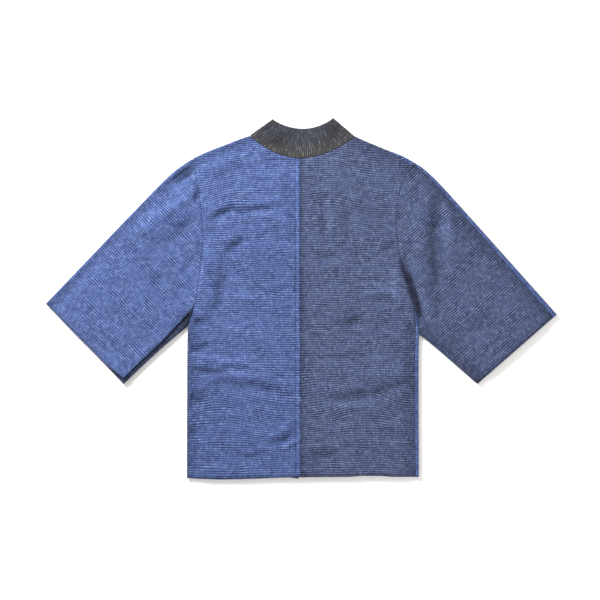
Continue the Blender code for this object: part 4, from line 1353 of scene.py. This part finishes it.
def ridged_finish(name, deep, middle, pale, cloth):
    """Slubby ridged cotton: dark lines between the ridges, partly the darker yarn there and partly painted
    shade, pale dashes and flecks on them, crossing yarns.
    """
    finish = Finish(name)
    place = finish.node("ShaderNodeUVMap", {"uv_map": CLOTH_MAP})
    s, t = finish.axes(place)
    ridge = t / cloth.rib_pitch
    number = ridge.whole()
    share = ridge.part()
    from_crest = (share - 0.5).size() * 2.0
    slub = finish.ridge_grain(s, number, SLUB_GRAIN)
    stretch = finish.ridge_grain(s, number, STRETCH_GRAIN).rising(*STRETCH_STEP)
    patch = finish.grain(s, t, PATCHES).rising(*PATCH_STEP)
    yarn = finish.grain(s, t, YARNS)
    thread = finish.grain(s, t, THREADS)
    crossing = finish.grain(s, t, CROSSINGS)
    contrast = 0.62 + patch * 0.38
    # Darker between the ridges: partly the yarn's own colour, partly painted shade in the valleys
    valley = from_crest.rising(*VALLEY_STEP) * contrast * (0.40 + stretch * 0.80)
    crest = 1.0 - from_crest.rising(*CREST_STEP)
    dash = slub.rising(*DASH_STEP) * crest
    fleck = finish.grain(s, t, FLECKS).rising(*FLECK_STEP)
    light = (dash * DASH_LIGHT + crest * CREST_LIGHT) * contrast + fleck * FLECK_LIGHT
    light = light + (yarn - 0.5) * YARN_LIGHT + (thread - 0.5) * THREAD_LIGHT
    light = light + (crossing - 0.5) * CROSSING_LIGHT
    colour = finish.mix(light.rising(*PALE_STEP), middle, pale)
    colour = finish.mix(valley.rising(*DEEP_STEP), colour, deep)
    tone = finish.grain(s, t, LARGE_MOTTLE)
    # The shade map: painted shade in creases, along edges and seams and at hems, and painted highlight on
    # crease ridges
    fold = finish.node("ShaderNodeAttribute", {"attribute_name": SHADE_MAP}, output=ATTRIBUTE_NUMBER)
    mottle = finish.grain(s, t, SMALL_MOTTLE)
    lift = (EVEN_LIFT + tone * LARGE_LIFT + mottle * SMALL_LIFT) * (1.0 + fold * PAINTED_SHADE_LIFT)
    colour = finish.shaded(colour, lift)
    height = crest * CREST_RELIEF + slub * crest * SLUB_RELIEF + yarn * YARN_RELIEF + thread * THREAD_RELIEF
    rough = CLOTH_ROUGH + valley * VALLEY_ROUGH - dash * DASH_ROUGH
    return finish.set(Base_Color=colour, Roughness=rough, Normal=finish.bump(height, CLOTH_BUMP), **DULL)


def band_finish(name, deep, middle, pale, cloth):
    """Charcoal band cloth: fine lines that run across the band, with pale grey flecks."""
    finish = Finish(name)
    place = finish.node("ShaderNodeUVMap", {"uv_map": CLOTH_MAP})
    s, t = finish.axes(place)
    line = t / cloth.band_pitch
    number = line.whole()
    from_crest = (line.part() - 0.5).size() * 2.0
    slub = finish.ridge_grain(s, number, BAND_SLUB_GRAIN)
    fleck = finish.grain(s, t, BAND_FLECKS).rising(*BAND_FLECK_STEP)
    patch = finish.grain(s, t, BAND_PATCHES)
    valley = from_crest.rising(*BAND_VALLEY_STEP) * (0.30 + patch)
    dash = slub.rising(*BAND_DASH_STEP) * (1.0 - from_crest.rising(*BAND_CREST_STEP))
    colour = finish.mix((dash * 0.55 + fleck * 0.45).rising(*BAND_PALE_STEP), middle, pale)
    colour = finish.mix(valley.rising(*BAND_DEEP_STEP), colour, deep)
    fold = finish.node("ShaderNodeAttribute", {"attribute_name": SHADE_MAP}, output=ATTRIBUTE_NUMBER)
    colour = finish.shaded(colour, 1.0 + fold * BAND_TONE_LIFT)
    warm = (finish.grain(s, t, BAND_WARMTH) * 0.6 + 0.55 - s / 0.060).rising(*BAND_WARM_STEP)
    tinge = finish.mix(warm, rgb(BAND_COOL), rgb(BAND_WARM))
    colour = finish.mix(1.0, colour, tinge, "MULTIPLY")
    height = (1.0 - from_crest) * BAND_CREST_RELIEF + slub * BAND_SLUB_RELIEF
    rough = BAND_ROUGH + valley * VALLEY_ROUGH
    return finish.set(Base_Color=colour, Roughness=rough, Normal=finish.bump(height, BAND_BUMP), **DULL)


def thread_finish(name, colour):
    """Sewing thread with a twist along it."""
    finish = Finish(name)
    place = finish.node("ShaderNodeTexCoord", output=OBJECT_PLACE)
    x, y = finish.axes(place)
    twist = ((x + y) / THREAD_TWIST).math("SINE") * 0.5 + 0.5
    tint = finish.mix(twist * 0.5, rgb(colour), rgb([0.6 * part for part in colour]))
    return finish.set(Base_Color=tint, Roughness=0.6, Normal=finish.bump(twist, TWIST_BUMP))


def floor_finish(name, colour):
    finish = Finish(name)
    grain = finish.noise(*finish.axes(finish.node("ShaderNodeTexCoord", output=OBJECT_PLACE)), 2.0)
    tint = finish.mix(grain * 0.04, rgb(colour), rgb([0.97 * part for part in colour]))
    return finish.set(Base_Color=tint, Roughness=0.95, Specular_IOR_Level=0.0)


def length_property(name, description, default):
    return bpy.props.FloatProperty(name=name, description=description, default=default, unit="LENGTH")


def power_property(name, description, default):
    return bpy.props.FloatProperty(name=name, description=description, default=default, unit="POWER")


def angle_property(name, description, default):
    return bpy.props.FloatProperty(name=name, description=description, default=default, subtype="ANGLE")


def share_property(name, description, default):
    return bpy.props.FloatProperty(name=name, description=description, default=default, subtype="FACTOR")


def colour_property(name, description, default):
    return bpy.props.FloatVectorProperty(
        name=name, description=description, default=default, size=3, min=0.0, max=1.0, subtype="COLOR"
    )


class KimonoCloth(bpy.types.PropertyGroup):
    """Sizes of the cloth and its sewing."""

    rib_pitch: length_property("Ridge spacing", "From one ridge of the cloth to the next", 0.0045)
    rib_height: length_property("Ridge height", "From the bottom of a valley to a crest", 0.0007)
    thickness: length_property("Cloth", "Thickness of the cloth under its ridges", 0.0020)
    hem_depth: length_property("Hem", "Depth of the turned hems and cuffs", 0.017)
    hem_rise: length_property("Hem rise", "How much higher the doubled cloth of a hem lies", 0.0005)
    crease_depth: share_property("Creases", "Share of the full depth of the creases", 1.0)
    band_pitch: length_property("Band lines", "From one line of the neck band to the next", 0.0034)
    stitch_length: length_property("Stitch", "Length of one stitch", 0.0024)
    stitch_pitch: length_property("Stitch spacing", "From one stitch to the next", 0.0034)
    stitch_radius: length_property("Thread", "Half the width of a stitch", 0.00035)


class KimonoColours(bpy.types.PropertyGroup):
    """Colours of the cloth, thread and floor."""

    # The blue and indigo valley colours are partly the darker yarn between the ridges and partly painted
    # shade there
    blue_deep: colour_property("Blue valley", "Between the bright cloth's ridges", (0.0058, 0.0120, 0.0520))
    blue_middle: colour_property("Blue cloth", "On the bright cloth's ridges", (0.0418, 0.0693, 0.1933))
    blue_pale: colour_property("Blue fleck", "On the bright cloth's slubs", (0.1390, 0.1940, 0.3850))
    indigo_deep: colour_property("Indigo valley", "Between the dark cloth's ridges", (0.0054, 0.0088, 0.0285))
    indigo_middle: colour_property("Indigo cloth", "On the dark cloth's ridges", (0.0413, 0.0552, 0.1220))
    indigo_pale: colour_property("Indigo fleck", "On the dark cloth's slubs", (0.1370, 0.1640, 0.2860))
    charcoal_deep: colour_property("Charcoal line", "Between the neck band's lines", (0.0110, 0.0116, 0.0140))
    charcoal_middle: colour_property("Charcoal cloth", "On the neck band", (0.0396, 0.0408, 0.0472))
    charcoal_pale: colour_property("Charcoal fleck", "On the neck band's slubs", (0.1260, 0.1270, 0.1360))
    blue_thread: colour_property("Blue thread", "Sewing on the bright cloth", (0.0300, 0.0480, 0.1300))
    indigo_thread: colour_property("Indigo thread", "Sewing on the dark cloth", (0.0200, 0.0260, 0.0560))
    floor: colour_property("Floor", "The pale floor", (0.88, 0.875, 0.865))


class KimonoStudio(bpy.types.PropertyGroup):
    """The light and the camera."""

    view_width: length_property("View width", "Width of floor that the camera sees", 1.2)
    view_height: length_property("Camera height", "Height of the camera over the jacket", 3.2)
    key_power: power_property("Key light", "Power of the soft light from the upper left", 100.0)
    key_size: length_property("Key size", "Width of the round key light", 0.85)
    key_distance: length_property("Key distance", "From the middle of the jacket to the key light", 2.2)
    side_power: power_property("Side light", "Power of the weak warm light from the lower right", 8.0)
    side_size: length_property("Side size", "Width of the round side light", 0.7)
    key_elevation: angle_property("Key elevation", "Height of the key light over the floor", 0.50)
    key_bearing: angle_property("Key bearing", "Direction that the key light comes from", 2.30)
    fill_strength: bpy.props.FloatProperty(
        name="Fill light", description="Strength of the even light all round", default=0.72
    )


# Each stretch of an outline: whether the cloth rolls over it, and how wide a strip shows at both its ends
def left_outer():
    side = Stretch(rounded(SIDE_LEFT), True, 0.0041, 0.0041)
    armhole = Stretch(armhole_left_line(), False, 0, 0)
    shoulder = Stretch(rounded(SHOULDER_LEFT), True, 0, 0)
    return (side, armhole, shoulder)


def right_outer():
    side = Stretch(rounded(SIDE_RIGHT), True, 0.0070, 0.0075)
    low = Stretch(rounded(ARMHOLE_RIGHT_LOW), False, 0.0075, 0.0008)
    high = Stretch(rounded(ARMHOLE_RIGHT_HIGH), False, 0, 0)
    outer = Stretch(rounded(SHOULDER_RIGHT_OUTER), True, 0.0075, 0.0045)
    inner = Stretch(rounded(SHOULDER_RIGHT_INNER), True, 0, 0)
    return (side, low, high, outer, inner)


def armhole_left_line():
    return np.vstack((rounded(ARMHOLE_LEFT_LOW), rounded(ARMHOLE_LEFT_HIGH)[1:]))


def sleeve_left_ends():
    top = (Stretch(rounded(SLEEVE_TOP_LEFT), True, 0, 0),)
    under = (
        Stretch(rounded(SLEEVE_UNDER_LEFT[:3]), True, 0.0082, 0.0092),
        Stretch(rounded(SLEEVE_UNDER_LEFT[2:]), True, 0.0092, 0.0164),
        Stretch(rounded(ARMHOLE_LEFT_LOW), False, 0.0146, -0.0028),
        Stretch(rounded(ARMHOLE_LEFT_HIGH), False, 0, 0),
    )
    return top, under


def sleeve_right_ends():
    top = (Stretch(rounded(SLEEVE_TOP_RIGHT), True, 0.0095, 0.0060),)
    under = (
        Stretch(rounded(SLEEVE_UNDER_RIGHT), True, 0, 0),
        Stretch(rounded(ARMHOLE_RIGHT_LOW), False, 0, 0),
        Stretch(rounded(ARMHOLE_RIGHT_HIGH), False, 0, 0),
    )
    return top, under


def neck_stretch(neck, corner):
    return Stretch(back_neck_edge(neck, corner), False, 0, 0)


def back_end(neck):
    top = neck.y - NECK_TIP
    return float(settle(top, lambda t: top - body_bend(np.array(neck.x), t)))


BODY_INTERIOR = 70
SLEEVE_INTERIOR = 70
FRONT_INTERIOR = 26
UNDER_SLEEVE_INTERIOR = 30


def settings():
    scene = bpy.context.scene
    return scene.kimono_cloth, scene.kimono_colours, scene.kimono_studio


def made_once(name, make):
    """A material that several pieces share."""
    return bpy.data.materials.get(name) or make(name)


def bright_cloth():
    cloth, colours, _ = settings()
    parts = [rgb(c) for c in (colours.blue_deep, colours.blue_middle, colours.blue_pale)]
    return made_once("bright_blue_ridged", lambda name: ridged_finish(name, *parts, cloth))


def dark_cloth():
    cloth, colours, _ = settings()
    parts = [rgb(c) for c in (colours.indigo_deep, colours.indigo_middle, colours.indigo_pale)]
    return made_once("dark_indigo_ridged", lambda name: ridged_finish(name, *parts, cloth))


def declare(piece, node):
    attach(piece, "root")
    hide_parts(node)


# Relief beside the centre back seam with its painted shade and painted highlight, and the relief of the
# pressed line up the right half of the back
ALLOWANCE_RISE = 0.00045
ALLOWANCE_START = Ramp(0.0002, 0.002, 1)
ALLOWANCE_END = Ramp(0.0078, 0.0092, 1)
GROOVE_DIP = Tone(SEAM_GROOVE, 0.0010, -0.00070)
SEAM_PAINTED_LIGHT = (Tone(0.0055, 0.0024, 0.45), Tone(SEAM_GROOVE, 0.0013, -1.0), Tone(0, 0.0018, -1.1))
NECK_PALE = Bump(-0.060, 0.228, 0.080, 0.050, 0.40)
CENTRE_PAINTED_SHADE = Tone(0, 0.0070, -1.5)
PRESSED_LINE = Tone(0.060, 0.0016, 0.0004)
PRESSED_FROM = Ramp(0.080, 0.130, 1)
PRESSED_TO = Ramp(0.190, 0.230, 1)


def from_centre(s, t):
    """Distance to the right of the centre back seam."""
    low, high = CENTRE_BACK[0], CENTRE_BACK[1]
    return s - low.x - (high.x - low.x) * (t - low.y) / (high.y - low.y)


def pressed_seam(s, t):
    """The seam allowance pressed to the left of the centre back, with a sewn groove along its edge."""
    inset = -from_centre(s, t)
    band = ramp(inset, ALLOWANCE_START) * (1 - ramp(inset, ALLOWANCE_END))
    return ALLOWANCE_RISE * band + soft_lines(inset, (GROOVE_DIP,))


def seam_painted_light(s, t):
    """Painted shade in the seam and in the sewn groove beside it, painted highlight between them, and paler
    near the neck.
    """
    pale = bumped(np.stack((s, t), axis=-1), (NECK_PALE,))
    return pale + soft_lines(-from_centre(s, t), SEAM_PAINTED_LIGHT)


def pressed_ridge(s, t):
    """A pressed line up the right half of the back."""
    return soft_lines(s, (PRESSED_LINE,)) * ramp(t, PRESSED_FROM) * (1 - ramp(t, PRESSED_TO))


def seam_side_painted_shade(s, t):
    """Painted shade along the right of the centre back seam, where the cloth dips down to it."""
    return soft_lines(from_centre(s, t), (CENTRE_PAINTED_SHADE,))


# Each cloth's slot and material, and how much painted shade darkens the edges and the hems of both halves of
# the back
BRIGHT = ("bright_blue", bright_cloth)
DARK = ("dark_indigo", dark_cloth)
LEFT_PAINTED_SHADE = (0.95, 0.35)
RIGHT_PAINTED_SHADE = (1.25, 0.60)


class KIMONO_OT_backs(bpy.types.Operator):
    """Make both halves of the back"""

    bl_idname = "kimono.backs"
    bl_label = "Backs"

    def execute(self, context):
        cloth, _, _ = settings()
        centre = Stretch(np.array(CENTRE_BACK), False, 0, 0)
        left_inner = (centre, neck_stretch(NECK_LEFT, COLLAR_LEFT))
        right_inner = (centre, neck_stretch(NECK_RIGHT, COLLAR_RIGHT))
        for side, low, high, neck, (slot, look), (edge_dark, end_dark), finish, tint in (
            ("left", left_outer(), left_inner, NECK_LEFT, BRIGHT, LEFT_PAINTED_SHADE, pressed_seam, seam_painted_light),
            ("right", right_inner, right_outer(), NECK_RIGHT, DARK, RIGHT_PAINTED_SHADE, pressed_ridge, seam_side_painted_shade),
        ):
            back = UpperCloth(BODY, low, high, HEM_HEIGHT, back_end(neck), body_bend, cloth)
            name = f"back_{side}_cloth"
            piece = back.build(name, BODY_INTERIOR, look(), edge_dark, end_dark, finish, tint)
            declare(piece, f"back_{side}")
        return {"FINISHED"}


class KIMONO_OT_fronts(bpy.types.Operator):
    """Make both fronts, which lie under the back and show along its sides"""

    bl_idname = "kimono.fronts"
    bl_label = "Fronts"

    def execute(self, context):
        cloth, _, _ = settings()
        left_inner = (Stretch(front_band_seam(NECK_LEFT, COLLAR_LEFT), False, 0, 0),)
        right_inner = (Stretch(front_band_seam(NECK_RIGHT, COLLAR_RIGHT), False, 0, 0),)
        for side, low, high, neck, (slot, look) in (
            ("left", left_outer(), left_inner, NECK_LEFT, DARK),
            ("right", right_inner, right_outer(), NECK_RIGHT, BRIGHT),
        ):
            front = LowerCloth(BODY, low, high, FRONT_HEM_HEIGHT, neck.y - NECK_TIP, front_bend, cloth)
            piece = front.build(f"front_{side}_cloth", FRONT_INTERIOR, look())
            declare(piece, f"front_{side}")
        return {"FINISHED"}


# How the cuffs and the lower edge of the left sleeve are drawn back and stand up
CUFF_DRAWN_BACK = (Ramp(0.080, 0.160, 0.0015), Ramp(0.165, 0.224, 0.0075))
CUFF_DRAWN_REACH = 0.014
LEFT_EDGE_RISE = Ramp(0.180, 0.216, 0.0028)
LEFT_EDGE_END = Ramp(0.120, 0.180, 1)
LEFT_CUFF_RISE = 0.0008
LEFT_CUFF_GAPE = Ramp(0.150, 0.224, 0.0035)
LEFT_CUFF_REACH = 0.020
LEFT_CUFF_START = Ramp(0.02, 0.12, 1)
UPPER_LIFT_SHARE = 1.6
RIGHT_CUFF_RISE = 0.0012
RIGHT_CUFF_REACH = 0.018
RIGHT_CUFF_START = Ramp(0.03, 0.10, 1)
RIGHT_CUFF_END = Ramp(0.15, 0.21, 1)


def left_cuff_back(s, t):
    """The upper cloth of the left cuff draws back from the cuff line towards its lower corner."""
    return sum(ramp(s, step) for step in CUFF_DRAWN_BACK) * np.exp(-t / CUFF_DRAWN_REACH)


def left_edge_lift(s, t):
    return ramp(s, LEFT_EDGE_RISE) * (1 - ramp(t, LEFT_EDGE_END))


def left_sleeve_lift(s, t):
    """The left sleeve stands up along its lower edge, and most where its cuff gapes."""
    cuff = (LEFT_CUFF_RISE + ramp(s, LEFT_CUFF_GAPE)) * bell(t, LEFT_CUFF_REACH) * ramp(s, LEFT_CUFF_START)
    return cuff + UPPER_LIFT_SHARE * left_edge_lift(s, t)


def right_cuff_lift(s, t):
    middle = ramp(s, RIGHT_CUFF_START) * (1 - ramp(s, RIGHT_CUFF_END))
    return RIGHT_CUFF_RISE * bell(t, RIGHT_CUFF_REACH) * middle


# The last two numbers of each sleeve give its painted shade along its edges and at its cuff
SLEEVES = (
    Sleeve(
        side="left", heading=SLEEVE_LEFT, ends=sleeve_left_ends, tip=SLEEVE_TIP_LEFT,
        upper=BRIGHT, under=DARK, cuff_bend=left_cuff_back, upper_lift=left_sleeve_lift,
        under_lift=left_edge_lift, sink=0.34, edge_dark=0.60, end_dark=0.35,
    ),
    Sleeve(
        side="right", heading=SLEEVE_RIGHT, ends=sleeve_right_ends, tip=SLEEVE_TIP_RIGHT,
        upper=DARK, under=BRIGHT, cuff_bend=no_bend, upper_lift=right_cuff_lift,
        under_lift=None, sink=0.0, edge_dark=1.50, end_dark=1.30,
    ),
)


def sleeve_shape(sleeve):
    """Both ends of a sleeve's rows, and how far up it its rows go."""
    top, under = sleeve.ends()
    return top, under, float(sleeve.heading.measure(top[0].line)[1][-1]) - sleeve.tip


class KIMONO_OT_sleeve_backs(bpy.types.Operator):
    """Make the upper halves of both sleeves"""

    bl_idname = "kimono.sleeve_backs"
    bl_label = "Upper sleeves"

    def execute(self, context):
        cloth, _, _ = settings()
        for sleeve in SLEEVES:
            slot, look = sleeve.upper
            top, under, end = sleeve_shape(sleeve)
            half = UpperCloth(sleeve.heading, top, under, 0, end, sleeve.cuff_bend, cloth, sleeve.upper_lift)
            name = f"sleeve_{sleeve.side}_back"
            piece = half.build(f"{name}_cloth", SLEEVE_INTERIOR, look(), sleeve.edge_dark, sleeve.end_dark)
            declare(piece, name)
        return {"FINISHED"}


class KIMONO_OT_sleeve_fronts(bpy.types.Operator):
    """Make the under halves of both sleeves"""

    bl_idname = "kimono.sleeve_fronts"
    bl_label = "Under sleeves"

    def execute(self, context):
        cloth, _, _ = settings()
        for sleeve in SLEEVES:
            slot, look = sleeve.under
            top, under, end = sleeve_shape(sleeve)
            lift = sleeve.under_lift
            half = LowerCloth(sleeve.heading, top, under, 0, end, no_bend, cloth, sleeve.sink, lift)
            name = f"sleeve_{sleeve.side}_front"
            piece = half.build(f"{name}_cloth", UNDER_SLEEVE_INTERIOR, look())
            declare(piece, name)
        return {"FINISHED"}


class KIMONO_OT_neck_band(bpy.types.Operator):
    """Make the band round the neck and down both front edges"""

    bl_idname = "kimono.neck_band"
    bl_label = "Neck band"

    def execute(self, context):
        cloth, colours, _ = settings()
        parts = [rgb(c) for c in (colours.charcoal_deep, colours.charcoal_middle, colours.charcoal_pale)]
        look = made_once("charcoal_band", lambda name: band_finish(name, *parts, cloth))
        piece = band_mesh("collar_band_cloth", look)
        declare(piece, "collar_band")
        return {"FINISHED"}


SEWING_STEP = 0.004
SEWING_LEVEL = 0.55
# Both ends of the sewing along each half of the hem
HEM_RUN_LEFT = (SIDE_LEFT[0].x + 0.007, CENTRE_BACK[0].x - 0.002)
HEM_RUN_RIGHT = (CENTRE_BACK[0].x + 0.003, SIDE_RIGHT[0].x - 0.009)
# Sewing up the centre back: how far over the hem, under the neck and off the seam it lies, and how deep
CENTRE_RUN_START = 0.004
CENTRE_RUN_END = 0.006
CENTRE_RUN_INSET = 0.0084
CENTRE_RUN_DIP = 0.0003


def on_top(points, cloth, extra):
    """Places on the outside of the upper cloth."""
    height = upper_lay(points, creases(points, cloth.crease_depth)) + cloth.thickness + extra
    return np.concatenate((points, height[:, None]), axis=1)


def sew(name, path, cloth, look):
    piece = stitch_line(name, path, cloth.stitch_length, cloth.stitch_pitch, cloth.stitch_radius, look)
    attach(piece, "root")


class KIMONO_OT_sewing(bpy.types.Operator):
    """Sew the hem of the back and the pressed seam up its middle"""

    bl_idname = "kimono.sewing"
    bl_label = "Sewing"

    def execute(self, context):
        cloth, colours, _ = settings()
        blue = made_once("blue_thread", lambda name: thread_finish(name, colours.blue_thread))
        dark = made_once("indigo_thread", lambda name: thread_finish(name, colours.indigo_thread))
        level = cloth.rib_height * SEWING_LEVEL
        hem = HEM_HEIGHT + cloth.hem_depth
        for name, ends, look, slot in (
            ("hem_stitching_left", HEM_RUN_LEFT, blue, "bright_blue"),
            ("hem_stitching_right", HEM_RUN_RIGHT, dark, "dark_indigo"),
        ):
            s = np.arange(*ends, SEWING_STEP)
            t = np.full(len(s), hem)
            places = BODY.plan(s, t + body_bend(s, t))
            sew(name, on_top(places, cloth, level), cloth, look)
        t = np.arange(hem + CENTRE_RUN_START, NECK_DIP.y - CENTRE_RUN_END, SEWING_STEP)
        s = CENTRE_BACK[0].x - CENTRE_RUN_INSET + 0 * t
        path = on_top(np.stack((s, t), axis=1), cloth, level - CENTRE_RUN_DIP)
        sew("centre_stitching", path, cloth, blue)
        return {"FINISHED"}


FLOOR_SIDE = 12.0
FLOOR_DROP = 0.0003
SENSOR = 36.0
PICTURE_MIDDLE = Spot(-0.002, -0.001)
SIDE_PLACE = (1.25, -0.70, 0.75)
SIDE_AIM = (0.35, -0.12, 0.0)
KEY_TINT = (1.0, 0.99, 0.97)
SIDE_TINT = (1.0, 0.96, 0.91)
WHITE = (1.0, 1.0, 1.0)
FARTHEST_SEEN = 50.0


def round_light(name, size, power, tint):
    light = bpy.data.lights.new(name, "AREA")
    light.shape = "DISK"
    light.size = size
    light.energy = power
    light.color = tint
    lamp = bpy.data.objects.new(name, light)
    bpy.context.scene.collection.objects.link(lamp)
    return lamp


class KIMONO_OT_studio(bpy.types.Operator):
    """Make the floor, the lights and the camera"""

    bl_idname = "kimono.studio"
    bl_label = "Studio"

    def execute(self, context):
        _, colours, studio = settings()
        scene = bpy.context.scene
        mesh = bpy.data.meshes.new("floor")
        half = FLOOR_SIDE / 2
        corners = [(x * half, y * half, -FLOOR_DROP) for x, y in ((-1, -1), (1, -1), (1, 1), (-1, 1))]
        mesh.from_pydata(corners, [], [(0, 1, 2, 3)])
        mesh.materials.append(floor_finish("pale_floor", colours.floor))
        floor = bpy.data.objects.new("floor", mesh)
        scene.collection.objects.link(floor)
        world = bpy.data.worlds.new("even_light")
        scene.world = world
        world.use_nodes = True
        background = world.node_tree.nodes["Background"]
        background.inputs["Color"].default_value = rgb(WHITE)
        background.inputs["Strength"].default_value = studio.fill_strength
        key = round_light("key", studio.key_size, studio.key_power, KEY_TINT)
        flat_run = studio.key_distance * cos(studio.key_elevation)
        key.location = (
            flat_run * cos(studio.key_bearing),
            flat_run * sin(studio.key_bearing),
            studio.key_distance * sin(studio.key_elevation),
        )
        key.rotation_euler = (0.0, pi / 2 - studio.key_elevation, studio.key_bearing)
        side = round_light("side", studio.side_size, studio.side_power, SIDE_TINT)
        side.location = SIDE_PLACE
        run = Vector(SIDE_AIM) - Vector(SIDE_PLACE)
        side.rotation_euler = run.to_track_quat("-Z", "Y").to_euler()
        camera = bpy.data.cameras.new("camera")
        camera.sensor_width = SENSOR
        camera.lens = SENSOR * studio.view_height / studio.view_width
        camera.clip_end = FARTHEST_SEEN
        holder = bpy.data.objects.new("camera", camera)
        holder.location = (PICTURE_MIDDLE.x, PICTURE_MIDDLE.y, studio.view_height)
        scene.collection.objects.link(holder)
        scene.camera = holder
        scene.view_settings.view_transform = "Standard"
        return {"FINISHED"}


class KIMONO_PT_panel(bpy.types.Panel):
    """Shows the settings and the buttons that make the pieces in the sidebar"""

    bl_idname = "KIMONO_PT_panel"
    bl_label = "Kimono jacket"
    bl_space_type = "VIEW_3D"
    bl_region_type = "UI"
    bl_category = "Kimono"

    def draw(self, context):
        for group in (context.scene.kimono_cloth, context.scene.kimono_colours, context.scene.kimono_studio):
            box = self.layout.box()
            for key in group.__annotations__:
                box.prop(group, key)
        for operator in OPERATORS:
            self.layout.operator(operator.bl_idname)


OPERATORS = (
    KIMONO_OT_studio,
    KIMONO_OT_fronts,
    KIMONO_OT_sleeve_fronts,
    KIMONO_OT_backs,
    KIMONO_OT_sleeve_backs,
    KIMONO_OT_neck_band,
    KIMONO_OT_sewing,
)
GROUPS = (("kimono_cloth", KimonoCloth), ("kimono_colours", KimonoColours), ("kimono_studio", KimonoStudio))


def register():
    for name, group in GROUPS:
        bpy.utils.register_class(group)
        setattr(bpy.types.Scene, name, bpy.props.PointerProperty(type=group))
    for item in (*OPERATORS, KIMONO_PT_panel):
        bpy.utils.register_class(item)


def unregister():
    for item in (KIMONO_PT_panel, *reversed(OPERATORS)):
        bpy.utils.unregister_class(item)
    for name, group in reversed(GROUPS):
        delattr(bpy.types.Scene, name)
        bpy.utils.unregister_class(group)


def main():
    register()
    for operator in OPERATORS:
        group, name = operator.bl_idname.split(".")
        getattr(getattr(bpy.ops, group), name)()
    bpy.context.view_layer.update()


if __name__ == "__main__":
    main()
